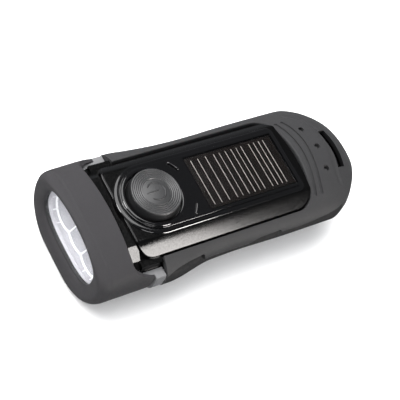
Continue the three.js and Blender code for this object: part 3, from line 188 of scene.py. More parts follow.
# Shares of the radius: how far each end ring of a bead reaches and how wide it is
BEAD_END_SHARES = ((1, 0.15), (0.6, 0.75))


def bead(name, points, radius, sides=10):
    """A rounded raised line through points."""
    points = np.asarray(points, float)
    tangent = np.gradient(points, axis=0)
    tangent /= np.linalg.norm(tangent, axis=1, keepdims=True)
    side = np.cross(tangent, (0, 0, 1.0))
    side /= np.linalg.norm(side, axis=1, keepdims=True)
    up = np.cross(side, tangent)
    turns = (np.arange(sides) * TAU / sides)[:, None]
    stops = [(0, -reach, width) for reach, width in BEAD_END_SHARES]
    stops += [(index, 0, 1) for index in range(len(points))]
    stops += [(-1, reach, width) for reach, width in reversed(BEAD_END_SHARES)]
    rings = []
    for index, reach, width in stops:
        around = np.cos(turns) * side[index] + np.sin(turns) * up[index]
        rings.append(points[index] + radius * (reach * tangent[index] + width * around))
    return loft(name, rings)


def along(points):
    """Distance along a line of points."""
    step = np.sqrt((np.diff(points, axis=0) ** 2).sum(1))
    return np.concatenate([[0], np.cumsum(step)])


def points_at(points, distances):
    """Points at distances along a line of points."""
    place = along(points)
    return np.column_stack([np.interp(distances, place, column) for column in points.T])


def line_distance(x, y, points):
    """Distance of every (x, y) to a line of points."""
    best = np.full(np.shape(x), np.inf)
    for (ax, ay), (bx, by) in zip(points[:-1], points[1:]):
        dx, dy = bx - ax, by - ay
        share = np.clip(((x - ax) * dx + (y - ay) * dy) / (dx * dx + dy * dy), 0, 1)
        best = np.minimum(best, np.hypot(x - ax - share * dx, y - ay - share * dy))
    return best


def curve_through(points):
    """A smooth line near points, with one value of x for each y."""
    points = np.asarray(points, float)
    fit = np.polyfit(points[:, 1], points[:, 0], 3)
    y = np.linspace(points[0, 1], points[-1, 1], 60)
    return np.column_stack([np.polyval(fit, y), y])


def smooth_share(value):
    share = np.clip(value, 0, 1)
    return share ** 2 * (3 - 2 * share)


def rolled_drop(distance, radius):
    """How far a rolled edge lies below the flat, at a distance from the edge."""
    drop = radius - np.sqrt(np.clip(radius ** 2 - (radius - distance) ** 2, 0, None))
    return np.where(distance < radius, drop, 0)


# Body shape

BODY_HALF = 27.5
BODY_TOP = 33.6
BODY_BOTTOM = 10
BODY_CROWN = 45
SIDE_TOP_Z = 21.2
SIDE_BOTTOM_Z = 20.2
LOWER_CORNER = 16
SHOULDER_SHARE = 0.82
LOWER_MOST_SHARE = 0.985
LEAST_HALF = 0.02
WAIST = 0.6
WAIST_X = -3.2
WAIST_REACH = 16
FLARE = 2.1
FLARE_X = -15.2
FLARE_LENGTH = 21
FLARE_DROP = 3
FLARE_CORNER = 6
TAIL_TAPER_X = 48.5
TAIL_FALL_X = 51.5
TAIL_FALL = 12
TAIL_LIFT = 4
TAIL_CROWN_SHARE = 0.4
TAIL_ROUNDNESS = 1.63
TAIL_END_SHARE = 0.998
MOST_SHARE = 0.9999
STATION_STEP = 1.5

WINDOW_REAR_X = 38.8
WINDOW_HALF = 22.6
WINDOW_CORNER = 8
WINDOW_BOW = 1.4
WINDOW_CORNER_STEPS = 16
WINDOW_FRONT_STEPS = 12
WINDOW_BOW_POINTS = 23

SLOT_X = 58.8
SLOT_Y = -1.4
SLOT_BOW = 1.0
SLOT_WIDTH = 3.9
SLOT_HALF = 9.4
SLOT_STEPS = 24


def body(x, flared=False, amount=0.0, below=None):
    """Half width, top, bottom and the rest of the body's section at x, drawn in by an amount."""
    x = np.asarray(x, float)
    below = amount if below is None else below
    taper = np.clip((x - TAIL_TAPER_X) / (TAIL_X - TAIL_TAPER_X), 0, MOST_SHARE)
    fall = np.clip((x - TAIL_FALL_X) / (TAIL_X - TAIL_FALL_X), 0, MOST_SHARE)
    waist = WAIST * np.exp(-(((x - WAIST_X) / WAIST_REACH) ** 2))
    flare = smooth_share((FLARE_X - x) / FLARE_LENGTH) if flared else np.zeros_like(x)
    narrow = (1 - taper ** TAIL_ROUNDNESS) ** (1 / TAIL_ROUNDNESS)
    half = (BODY_HALF - waist + FLARE * flare) * narrow - amount
    return {
        "half": np.maximum(half, LEAST_HALF),
        "top": BODY_TOP - TAIL_FALL * (1 - np.sqrt(1 - fall ** 2)) - amount,
        "bottom": BODY_BOTTOM + TAIL_LIFT * taper ** 2 + below,
        "crown": BODY_CROWN * (1 - TAIL_CROWN_SHARE * taper),
        "side_top": SIDE_TOP_Z + 0 * x,
        "side_bottom": SIDE_BOTTOM_Z - FLARE_DROP * flare,
        "lower": LOWER_CORNER - FLARE_CORNER * flare - amount,
    }


def upper_z(s, y):
    """Height of the upper surface at y."""
    y = np.abs(y)
    half, top, crown, side_top = s["half"], s["top"], s["crown"], s["side_top"]
    shoulder = SHOULDER_SHARE * half
    shoulder_z = top - shoulder ** 2 / (2 * crown)
    corner_z = shoulder_z - (half - shoulder) * shoulder / crown
    rest = np.sqrt(np.clip((half - y) / np.maximum(half - shoulder, 1e-6), 0, 1))
    rolled = rest ** 2 * shoulder_z + 2 * rest * (1 - rest) * corner_z + (1 - rest) ** 2 * side_top
    return np.where(y <= shoulder, top - y ** 2 / (2 * crown), rolled)


def surface_z(x, y):
    return upper_z(body(x, True), y)


def lower_y(s, z):
    """Half width of the lower corner at height z."""
    across = np.minimum(s["lower"], s["half"] * LOWER_MOST_SHARE)
    share = np.clip((s["side_bottom"] - z) / (s["side_bottom"] - s["bottom"]), 0, 1)
    return s["half"] - across * (1 - np.sqrt(1 - share ** 2))


def section_ring(x, s, crown_steps=14, corner_steps=12):
    s = {key: float(value) for key, value in s.items()}
    shoulder = SHOULDER_SHARE * s["half"]
    ys = list(np.linspace(0, shoulder, crown_steps + 1))
    rest = 1 - np.linspace(0, 1, corner_steps + 1)[1:]
    ys += list(rest ** 2 * shoulder + (1 - rest ** 2) * s["half"])
    half = [(y, float(upper_z(s, y))) for y in ys]
    across = min(s["lower"], s["half"] * LOWER_MOST_SHARE)
    for angle in np.linspace(0, QUARTER, corner_steps + 1):
        y = s["half"] - across * (1 - math.cos(angle))
        half.append((y, s["side_bottom"] - (s["side_bottom"] - s["bottom"]) * math.sin(angle)))
    mirrored = [(-y, z) for y, z in reversed(half[1:])]
    return np.array([(x, y, z) for y, z in half + mirrored])


def body_stations(start, end):
    straight = np.arange(start, TAIL_TAPER_X, STATION_STEP)
    turn = np.linspace(0, QUARTER, 22)
    tail = TAIL_TAPER_X + (TAIL_X - TAIL_TAPER_X) * np.sin(turn) * TAIL_END_SHARE
    stations = np.concatenate([straight, tail])
    return np.concatenate([stations[stations < end - 0.01], [min(end, tail[-1])]])


def body_loft(name, start, amount, below, flared=False, end=TAIL_X):
    """The body from start to end, drawn in by an amount. At the tail it is drawn in lengthways too."""
    stretch = (TAIL_X - amount - start) / (TAIL_X - start) if end == TAIL_X else 1
    rings = []
    for x in body_stations(start, end):
        rings.append(section_ring(start + (x - start) * stretch, body(x, flared, amount, below)))
    return loft(name, rings)


def window_outline(gap, start, front_corner):
    """Plan outline of the grip's window, drawn in by a gap, from the far rear corner clockwise."""
    rear = WINDOW_REAR_X - gap
    side = WINDOW_HALF - gap
    corner = WINDOW_CORNER - gap
    front = front_corner - gap
    rear_x = rear - WINDOW_BOW - corner
    across = np.linspace(side - corner, corner - side, WINDOW_BOW_POINTS + 2)[1:-1]
    bow = np.column_stack([rear - WINDOW_BOW * (across / (side - corner)) ** 2, across])
    return np.vstack([
        arc(rear_x, side - corner, corner, QUARTER, 0, WINDOW_CORNER_STEPS),
        bow,
        arc(rear_x, corner - side, corner, 0, -QUARTER, WINDOW_CORNER_STEPS),
        arc(start + front, front - side, front, -QUARTER, -math.pi, WINDOW_FRONT_STEPS),
        arc(start + front, side - front, front, math.pi, QUARTER, WINDOW_FRONT_STEPS),
    ])


def slot_tool(bottom, top):
    """The bowed strap slot near the tail."""
    across = np.linspace(1, -1, SLOT_STEPS + 1)
    middle = SLOT_X - SLOT_BOW * across ** 2
    y = SLOT_Y + SLOT_HALF * across
    front = np.column_stack([middle - SLOT_WIDTH / 2, y])
    rear = np.column_stack([middle + SLOT_WIDTH / 2, y])
    return prism("slot", np.vstack([front, rear[::-1]]), bottom, top)


def in_slot(place, normal):
    """Walls of the strap slot. They are painted near-black: painted shade in the deep slot."""
    near = abs(place.x - SLOT_X) < SLOT_WIDTH and abs(place.y) < SLOT_HALF + 3
    return near and abs(normal.z) < 0.5 and place.z < surface_z(place.x, place.y) - 0.5


# Materials

# How much lighter sharp edges get: partly edge wear, partly a painted highlight.
WEAR_AND_HIGHLIGHT_LIGHTER = 2.2
BUMP_DISTANCE = 0.1
looks = {}


def node_material(name):
    material = bpy.data.materials.new(name)
    material.use_nodes = True
    looks[name] = material
    nodes = material.node_tree.nodes
    links = material.node_tree.links
    return nodes, links, nodes["Principled BSDF"], nodes.new("ShaderNodeTexCoord").outputs["Object"]


def set_inputs(node, values):
    for name, value in values.items():
        node.inputs[name].default_value = value


def noise(nodes, links, place, scale, detail, roughness=0.6):
    texture = nodes.new("ShaderNodeTexNoise")
    set_inputs(texture, {"Scale": scale, "Detail": detail, "Roughness": roughness})
    links.new(place, texture.inputs["Vector"])
    return texture.outputs["Fac"]


def spread(nodes, links, value, low, high, source=(0.3, 0.7)):
    node = nodes.new("ShaderNodeMapRange")
    set_inputs(node, {"From Min": source[0], "From Max": source[1], "To Min": low, "To Max": high})
    links.new(value, node.inputs["Value"])
    return node.outputs["Result"]


def surface(name, colour, roughness, vary=0.12, rough_vary=0.08, grain=900, bump=0.08, cloud=60,
            metallic=0, coat=0, specular=0.5, sheen=0, wear_and_edge_highlight=0, streak=None):
    """A moulded or metal surface with clouded colour, uneven gloss and a fine grain."""
    nodes, links, shader, place = node_material(name)
    ramp = nodes.new("ShaderNodeValToRGB")
    dark, light = ramp.color_ramp.elements
    dark.position = 0.3
    light.position = 0.7
    dark.color = (*[part * (1 - vary) for part in colour], 1)
    light.color = (*[min(1, part * (1 + vary)) for part in colour], 1)
    links.new(noise(nodes, links, place, cloud, 5), ramp.inputs["Fac"])
    base = ramp.outputs["Color"]
    # Sharp outer edges are lightened: partly edge wear, partly a painted highlight along the edges.
    if wear_and_edge_highlight:
        geometry = nodes.new("ShaderNodeNewGeometry")
        mix = nodes.new("ShaderNodeMixRGB")
        mix.inputs["Color2"].default_value = (*[min(1, part * WEAR_AND_HIGHLIGHT_LIGHTER + 0.02) for part in colour], 1)
        edge = spread(nodes, links, geometry.outputs["Pointiness"], 0, wear_and_edge_highlight, (0.52, 0.6))
        links.new(edge, mix.inputs["Fac"])
        links.new(base, mix.inputs["Color1"])
        base = mix.outputs["Color"]
    links.new(base, shader.inputs["Base Color"])
    if streak:
        mapping = nodes.new("ShaderNodeMapping")
        mapping.inputs["Scale"].default_value = streak
        links.new(place, mapping.inputs["Vector"])
        place = mapping.outputs["Vector"]
    fine = noise(nodes, links, place, grain, 3, 0.55)
    smoothest, roughest = max(0.02, roughness - rough_vary), roughness + rough_vary
    links.new(spread(nodes, links, fine, smoothest, roughest), shader.inputs["Roughness"])
    relief = nodes.new("ShaderNodeBump")
    set_inputs(relief, {"Strength": bump, "Distance": BUMP_DISTANCE * MM})
    links.new(fine, relief.inputs["Height"])
    links.new(relief.outputs["Normal"], shader.inputs["Normal"])
    set_inputs(shader, {"Metallic": metallic, "Coat Weight": coat, "Coat Roughness": 0.05,
                        "Specular IOR Level": specular, "Sheen Weight": sheen})


def clear(name, colour, roughness, alpha):
    """Clear plastic that shows what lies behind it, with faint moulding haze."""
    nodes, links, shader, place = node_material(name)
    set_inputs(shader, {"Base Color": (*colour, 1), "IOR": 1.5})
    haze = noise(nodes, links, place, 300, 3)
    links.new(spread(nodes, links, haze, roughness * 0.7, roughness * 1.4), shader.inputs["Roughness"])
    links.new(spread(nodes, links, haze, alpha * 0.9, alpha * 1.1), shader.inputs["Alpha"])


surface("grip_rubber", (0.0195, 0.0193, 0.0203), 0.7, grain=2600, bump=0.25, cloud=45, sheen=0.02, wear_and_edge_highlight=0.12,
        vary=0.08, specular=0.22)
# A darker copy of the grip rubber: painted shade for the recess under the side ridge.
surface("grip_painted_shade", (0.0085, 0.0085, 0.009), 0.75, bump=0.06, specular=0.15)
surface("bezel_rubber", (0.0245, 0.0234, 0.0252), 0.7, grain=2600, bump=0.22, cloud=35, sheen=0.02, wear_and_edge_highlight=0.1,
        vary=0.07, specular=0.14)
surface("pad_rubber", (0.018, 0.018, 0.0187), 0.42, grain=3000, bump=0.12, cloud=90, wear_and_edge_highlight=0.1)
surface("gloss_black", (0.0018, 0.0018, 0.002), 0.09, rough_vary=0.03, grain=500, bump=0.02, cloud=30,
        coat=0.1, specular=0.35)
surface("insert_black", (0.0014, 0.0014, 0.0014), 0.16, rough_vary=0.06, grain=1600, bump=0.1, cloud=30,
        specular=0.14)
surface("satin_black", (0.006, 0.006, 0.0065), 0.42, grain=1800, bump=0.15, specular=0.3)
surface("matt_black", (0.018, 0.018, 0.019), 0.55, grain=2200, bump=0.3, cloud=70, wear_and_edge_highlight=0.1)
# Near-black: the power symbol's own colour, and painted shade on the walls of the strap slot and the dots.
surface("symbol_black_and_painted_shade", (0.0025, 0.0025, 0.003), 0.5, grain=2000, bump=0.1)
surface("housing_grey", (0.12, 0.12, 0.123), 0.4, grain=2200, bump=0.2, cloud=70, vary=0.08)
surface("mirror_silver", (0.46, 0.45, 0.485), 0.4, rough_vary=0.04, grain=300, bump=0.01, metallic=0.4,
        vary=0.03)
# A darker copy of the reflector silver: painted shade inside the cups.
surface("mirror_cup_painted_shade", (0.3, 0.295, 0.32), 0.5, vary=0.03, grain=1600, bump=0.02, cloud=200, specular=0.3)
# A near-white copy of the reflector silver: painted highlight along the ridges between the cups.
surface("mirror_ridge_painted_highlight", (0.86, 0.86, 0.87), 0.3, vary=0.03, grain=1600, bump=0.02, cloud=200)
surface("white_board", (0.8, 0.79, 0.76), 0.45, grain=1800, bump=0.1)
surface("green_board", (0.012, 0.10, 0.035), 0.4, grain=1500, bump=0.2, cloud=200, vary=0.3)
surface("led_white", (0.86, 0.86, 0.83), 0.14, rough_vary=0.05, grain=600, bump=0.03, coat=0.5)
surface("solar_dark", (0.003, 0.0021, 0.0018), 0.6, rough_vary=0.05, bump=0.02, cloud=260, vary=0.4,
        specular=0.05)
surface("solar_silver", (0.25, 0.238, 0.226), 0.6, grain=2500, bump=0.03, cloud=300, vary=0.1, specular=0.2)
surface("steel", (0.6, 0.61, 0.63), 0.28, bump=0.12, metallic=1.0, vary=0.08, streak=(1, 1, 12))
surface("brass", (0.62, 0.42, 0.16), 0.3, bump=0.1, metallic=1.0, vary=0.1, streak=(1, 1, 12))
surface("copper", (0.55, 0.2, 0.09), 0.35, grain=3000, bump=0.6, metallic=0.9, vary=0.15, streak=(1, 1, 6))
surface("white_nylon", (0.75, 0.73, 0.68), 0.48, grain=1500, bump=0.12)
surface("cell_green", (0.05, 0.22, 0.07), 0.3, grain=800, bump=0.05, coat=0.3)
clear("clear_plastic", (0.9, 0.93, 0.96), 0.05, 0.07)
clear("clear_window", (0.004, 0.004, 0.004), 0.3, 0.06)


def use(obj, look):
    obj.data.materials.clear()
    obj.data.materials.append(looks[look])


def stands_for(obj, body_name, slot, *nodes, look=None):
    """Let an object ride on a body in the place of CAD nodes, with its slot's look or one of its own."""
    use(obj, look or slot)
    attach(obj, body_name)
    if nodes:
        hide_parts(*nodes)


def paint(obj, look, chosen):
    """Give the faces that chosen picks, by middle and normal in millimetres, a look of their own."""
    obj.data.materials.append(looks[look])
    for face in obj.data.polygons:
        if chosen(face.center / MM, face.normal):
            face.material_index = len(obj.data.materials) - 1


EDGE_BEVEL = 0.08

for part in frame["record"]["subparts"]:
    node = frame["nodes"][part["node"]]
    use(node, part["material_slot"])
    bevel = node.modifiers.new("edges", "BEVEL")
    bevel.width = EDGE_BEVEL * MM
    bevel.segments = 1
    bevel.limit_method = "ANGLE"
    bevel.angle_limit = math.radians(50)


# Front bezel

BEZEL_HALF = 28.7
BEZEL_TOP = 33
BEZEL_RISE = 1.3
BEZEL_CROWN = 60.0
BEZEL_SIDE_TOP_Z = 21.4
BEZEL_SIDE_BOTTOM_Z = 20.0
BEZEL_WALL = 1.2
BEZEL_EDGE = 0.5
LENS_HALF_WIDTH = 20
LENS_HALF_HEIGHT = 10.4
LENS_POWER = 2.7
LENS_REBATE = 1.9
LIP_ROLL = 4.6
LIP_ROLL_LOSS = 2.0
LIP_SETBACK = 1.5
LIP_CREST_SHARE = 0.5
LIP_BLEND = 12
TAB_TOP_Z = 30.0
TAB_SWEEP = 6.5
TAB_CURVE = 1.75
TAB_FOOT_Z = 10
TAB_INNER_HALF = 17.5


def bezel_section(x, amount=0.0):
    share = np.clip((x - FRONT_X) / (HOUSING_X - FRONT_X), 0, 1)
    return {
        "half": BEZEL_HALF - amount,
        "top": BEZEL_TOP + BEZEL_RISE * share - amount,
        "bottom": amount,
        "crown": BEZEL_CROWN,
        "side_top": BEZEL_SIDE_TOP_Z,
        "side_bottom": BEZEL_SIDE_BOTTOM_Z,
        "lower": BEZEL_SIDE_BOTTOM_Z - amount,
    }


def lens_radius(angles):
    across = np.abs(np.cos(angles)) / LENS_HALF_WIDTH
    up = np.abs(np.sin(angles)) / LENS_HALF_HEIGHT
    return 1 / (across ** LENS_POWER + up ** LENS_POWER) ** (1 / LENS_POWER)


def bezel_rear(z, y):
    """Rear edge of the bezel. Along each side it sweeps back into a tab."""
    share = np.clip((TAB_TOP_Z - z) / TAB_SWEEP, 0, 1)
    tab = (TAB_X - HOUSING_X) * share ** TAB_CURVE
    return HOUSING_X + np.where((z < TAB_FOOT_Z) | (np.abs(y) < TAB_INNER_HALF), 0, tab)


def make_bezel():
    angles = np.linspace(-math.pi, math.pi, 721)[:-1]
    ys, zs = np.cos(angles), np.sin(angles)
    columns = []

    def outline(x, section):
        """Distance from the lens centre to a section's outline at each angle."""
        ring = section_ring(x, section, 24, 24)
        ring = np.vstack([ring, ring[:1]])
        ring = points_at(ring, np.linspace(0, 1, 6000) * along(ring)[-1])
        y, z = ring[:, 1], ring[:, 2] - LENS_Z
        around = np.arctan2(z, y)
        order = np.argsort(around)
        around, radius = around[order], np.hypot(y, z)[order]
        around = np.concatenate([around - TAU, around, around + TAU])
        return np.interp(angles, around, np.tile(radius, 3))

    def put(x, radius):
        columns.append(np.column_stack([np.broadcast_to(x, angles.shape), radius * ys, LENS_Z + radius * zs]))

    opening = lens_radius(angles)
    rebate = opening + LENS_REBATE
    front = outline(FRONT_X, bezel_section(FRONT_X))
    full = outline(HOUSING_X, bezel_section(HOUSING_X))
    inner = np.maximum(np.minimum(outline(HOUSING_X, body(HOUSING_X)), full - BEZEL_WALL), rebate)
    rear = bezel_rear(LENS_Z + full * zs, full * ys)
    drawn_in = outline(FRONT_X, bezel_section(FRONT_X, LIP_ROLL))
    least = opening + LIP_CREST_SHARE * (front - opening)
    crest = (drawn_in ** LIP_BLEND + least ** LIP_BLEND) ** (1 / LIP_BLEND)
    crest_x = FRONT_X + LIP_SETBACK * (0.5 + 0.5 * zs)
    lip = LIP_ROLL - LIP_ROLL_LOSS * np.clip(zs, 0, 1) ** 2
    roll_end = crest_x + lip
    put(RIM_X + 0.03, rebate)
    put(RIM_X, opening + 0.1)
    for turn in np.linspace(0.05, QUARTER, 14):
        put(RIM_X - (RIM_X - crest_x) * math.sin(turn), opening + (crest - opening) * (1 - math.cos(turn)))
    for turn in np.linspace(0, QUARTER, 14)[1:]:
        put(crest_x + lip * (1 - math.cos(turn)), crest + (front - crest) * math.sin(turn))
    for share in np.linspace(0, 1, 26)[1:]:
        x = roll_end + (rear - BEZEL_EDGE - roll_end) * share
        level = np.clip((x - FRONT_X) / (HOUSING_X - FRONT_X), 0, 1)
        put(x, front + (full - front) * level)
    for turn in np.linspace(0, QUARTER, 5)[1:]:
        put(rear - BEZEL_EDGE + BEZEL_EDGE * math.sin(turn), full - BEZEL_EDGE * (1 - math.cos(turn)))
    put(rear, inner)
    put(HOUSING_X, inner)
    put(HOUSING_X, rebate)
    return mesh_object("bezel_shell", columns, grid_faces(len(columns), len(angles), True), angle=50)


stands_for(make_bezel(), "case", "bezel_rubber", "front_bezel")


# Lens, reflector and lamps

LENS_THICK = 0.7
LENS_DOME = 0.35
LENS_MIDDLE_SHARE = 0.06
# Setback behind the lens's front and margin round the opening
LENS_EDGE = ((0.7, 0.5), (1.6, 0.6), (1.6, 1.2), (1.4, 1.5), (0.2, 1.5), (0, 1.2))
CUPS = (-10.6, 0, 10.6)
CUP_FRONT_X = -63.4
CUP_RADIUS = 8.6
CUP_DEPTH = 4.9
CUP_RIM = 0.35
CUP_RIM_WIDTH = 0.45
REFLECTOR_GAP = 0.6
REFLECTOR_BACK_X = -56.9
REFLECTOR_MIDDLE_SHARE = 0.02
# Place along the torch and margin round the opening
REFLECTOR_WALL = ((-65.1, -0.45), (-65.25, -0.15), (-66.1, 0.05), (-66.4, 0.15), (-66.4, 0.4), (-65.3, 0.45),
                  (-65.3, 1.2), (REFLECTOR_BACK_X, 1.2))
LAMP_BACK_X = -56.4
LAMP_FLANGE_X = -57.1
LAMP_FLANGE_RADIUS = 2.9
LAMP_DOME_X = -59.1
LAMP_RADIUS = 2.5


def lens_ring(x, margin, count=120, share=1):
    angles = np.linspace(0, TAU, count, endpoint=False)
    y, z = np.cos(angles), np.sin(angles)
    y = np.sign(y) * np.abs(y) ** (2 / LENS_POWER) * (LENS_HALF_WIDTH + margin)
    z = np.sign(z) * np.abs(z) ** (2 / LENS_POWER) * (LENS_HALF_HEIGHT + margin)
    return np.column_stack([np.full(count, float(x)), share * y, LENS_Z + share * z])


def make_lens():
    rings = [lens_ring(LENS_X + LENS_THICK, 0, share=LENS_MIDDLE_SHARE)]
    rings += [lens_ring(LENS_X + setback, margin) for setback, margin in LENS_EDGE]
    for share in (0.92, 0.75, 0.5, 0.25, LENS_MIDDLE_SHARE):
        rings.append(lens_ring(LENS_X - LENS_DOME * (1 - share ** 2), 0, share=share))
    return loft("lens_window", rings)


def cup_floor(y, z):
    """Depth of the cups and height of the ridges between them, at a place on the reflector."""
    away = np.sort(np.stack([np.hypot(y - place, z) for place in CUPS]), axis=0)
    nearest, second = away[0], away[1]
    depth = CUP_DEPTH * np.clip(1 - (nearest / CUP_RADIUS) ** 2, 0, 1)
    between = np.minimum(np.where(second < CUP_RADIUS + CUP_RIM_WIDTH, (second - nearest) * 0.8, 9),
                         np.abs(nearest - CUP_RADIUS))
    ridge = CUP_RIM * np.exp(-(between / CUP_RIM_WIDTH) ** 4)
    return depth, ridge


def make_reflector():
    """Silver cups that run into each other, sunk in a bright rim."""
    count = 480
    rim = lens_ring(0, -REFLECTOR_GAP, count)
    shares = np.linspace(0, 1, 200)[:, None]
    y = rim[:, 1] * shares
    z = (rim[:, 2] - LENS_Z) * shares
    depth, ridge = cup_floor(y, z)
    front = np.stack([CUP_FRONT_X + depth - ridge, y, z + LENS_Z], 2)
    wall = [lens_ring(x, margin, count) for x, margin in REFLECTOR_WALL]
    wall.append(lens_ring(REFLECTOR_BACK_X, 0, count, REFLECTOR_MIDDLE_SHARE))
    return loft("reflector_dish", np.concatenate([front, wall]), angle=28, start_cap=False)


def in_cup(place, normal):
    inside = CUP_FRONT_X - 1 < place.x < CUP_FRONT_X + CUP_DEPTH
    return inside and float(cup_floor(place.y, place.z - LENS_Z)[0]) > 0.01


def on_ridge(place, normal):
    inside = CUP_FRONT_X - 1 < place.x < CUP_FRONT_X + CUP_DEPTH
    return inside and float(cup_floor(place.y, place.z - LENS_Z)[1]) > 0.5 * CUP_RIM


def make_lamp(name, y):
    profile = [(0, LAMP_BACK_X), (LAMP_FLANGE_RADIUS, LAMP_BACK_X), (LAMP_FLANGE_RADIUS, LAMP_FLANGE_X),
               (LAMP_RADIUS, LAMP_FLANGE_X - 0.1), (LAMP_RADIUS, LAMP_DOME_X)]
    for turn in np.linspace(0.1, QUARTER, 10)[:-1]:
        profile.append((LAMP_RADIUS * math.cos(turn), LAMP_DOME_X - LAMP_RADIUS * math.sin(turn)))
    profile.append((0, LAMP_DOME_X - LAMP_RADIUS))
    return lathe(name, profile, (0, y, LENS_Z), axis="x", sides=40)


stands_for(make_lens(), "case", "clear_plastic", "lens")
reflector = make_reflector()
stands_for(reflector, "case", "mirror_silver", "reflector")
# The cups are painted darker than the rim: painted shade in the hollows.
paint(reflector, "mirror_cup_painted_shade", in_cup)
# The ridges between the cups are painted near-white: painted highlight.
paint(reflector, "mirror_ridge_painted_highlight", on_ridge)
for number, y in enumerate(CUPS, 1):
    stands_for(make_lamp(f"lamp_{number}", y), "case", "led_white", f"led_{number}")


# Rubber grip

GROOVES = [
    curve_through([(39.6, 17.5), (40.8, 14.5), (41.4, 8.4), (41.9, 1.2), (41.5, -3.9), (41.0, -9),
                   (40.2, -14.4), (39.1, -18.8)]),
    curve_through([(43.2, 17.6), (44.5, 14.9), (45.4, 7.7), (45.3, 0.3), (44.8, -4.9), (44.1, -9.9),
                   (43.3, -14.8), (42.6, -18.8)]),
]
GROOVE_RADIUS = 0.8
GROOVE_DEPTH = 1.0
RIDGE = curve_through([(47, 21.6), (53.8, 16.3), (55.7, 11.4), (56.0, 2.5), (55.6, -5.1), (54.6, -12.9),
                       (53.4, -17.2)])
RIDGE_HALF = 1.1
RIDGE_DROP = 0.3
DOTS = [(49.5, -9.8), (50.6, 0.9), (49.0, 11.2)]
# Radius and height over the surface
DOT_PROFILE = ((0, -1.9), (0.8, -1.8), (1.15, -1.4), (1.2, -0.3), (1.6, 0.6), (0, 0.6))
DOT_REACH = 1.3
# The side ridge, from the front to the tail, and how deep the channel is under it
RIDGE_XS = (-39.4, -38, -36, -33, -28, -21.2, -20.2, -12, -6.7, 0, 3, 6, 8.5, 13.7, 17.9, 18.9, 28.8, 34.2,
            39.4, 44.8, 48.7, 54)
RIDGE_ZS = (21.8, 22.6, 23.7, 24.5, 25.0, 25.1, 22.4, 21.8, 21.3, 20.9, 21.2, 23.0, 23.7, 23.9, 24.3, 22.9,
            22.8, 23.1, 23.8, 24.4, 25.2, 26)
CHANNEL_XS = (-39.4, -37, -33, -22, -20, 3, 7, 17, 19, 44, 52, 56)
CHANNEL_DEPTHS = (0.8, 1.5, 1.9, 1.8, 1.3, 1.2, 1.6, 1.6, 1.3, 1.2, 0.7, 0)
CHANNEL_FOOT_Z = 18.6
CHANNEL_LOW_Z = 15
CHANNEL_START_X = -39
CHANNEL_END_X = 53
CHANNEL_INNER_HALF = 20
CHANNEL_EDGE = 0.3
CHANNEL_FLAT = 0.9
BEND_X = 29.0
BEND_REACH = 12
GRIP_POINTS = 460
GRIP_WALL = 2.3
GRIP_EDGE_Z = 13.0
GRIP_LIP = 0.7
LIP_WALL_TOP = 0.6
LIP_WALL_FOOT = 1.7


def tail_silhouette():
    """The grip's plan outline from the near front round the tail to the far front."""
    turn = np.linspace(0, QUARTER, 60)
    tail_x = TAIL_TAPER_X + (TAIL_X - TAIL_TAPER_X) * np.sin(turn) ** (2 / TAIL_ROUNDNESS)
    tail_y = BODY_HALF * np.cos(turn) ** (2 / TAIL_ROUNDNESS)
    straight = np.arange(GRIP_X, TAIL_TAPER_X, 1.0)
    half = np.concatenate([body(straight, True)["half"], tail_y])
    near = np.column_stack([np.concatenate([straight, tail_x]), -half])
    return np.vstack([near, near[::-1][1:] * np.array([1, -1])])


def bend_place(line, side):
    """Distance along a line to where its side with this sign starts to bend round the tail."""
    chosen = (np.sign(line[:, 1]) == side) & (line[:, 0] <= BEND_X + BEND_REACH)
    x, place = line[chosen][:, 0], along(line)[chosen]
    return np.interp(BEND_X, x, place) if side < 0 else np.interp(BEND_X, x[::-1], place[::-1])


def grip_lines():
    """Matching points on the window's edge and on the plan outline."""
    rear = window_outline(0, GRIP_X, WINDOW_CORNER)[:2 * (WINDOW_CORNER_STEPS + 1) + WINDOW_BOW_POINTS]
    inner = np.vstack([[(GRIP_X, WINDOW_HALF)], rear, [(GRIP_X, -WINDOW_HALF)]])[::-1]
    side_count = int(GRIP_POINTS * 0.3)
    middle = GRIP_POINTS - 2 * side_count
    share = np.concatenate([
        np.linspace(0, 1, side_count, endpoint=False),
        np.linspace(1, 2, middle, endpoint=False),
        np.linspace(2, 3, side_count),
    ])

    def spaced(line):
        keys = [0, bend_place(line, -1), bend_place(line, 1), along(line)[-1]]
        return points_at(line, np.interp(share, range(4), keys))

    return spaced(inner), spaced(tail_silhouette())


def channel_depth(x, z):
    """Recess along each side, under an edge that climbs twice to the rear as a thumb rest."""
    edge = np.interp(x, RIDGE_XS, RIDGE_ZS)
    deep = np.interp(x, CHANNEL_XS, CHANNEL_DEPTHS)
    top = smooth_share((edge - z) / CHANNEL_EDGE)
    flat = edge - CHANNEL_FLAT
    return deep * top * (1 - smooth_share((flat - z) / (flat - CHANNEL_FOOT_Z)))


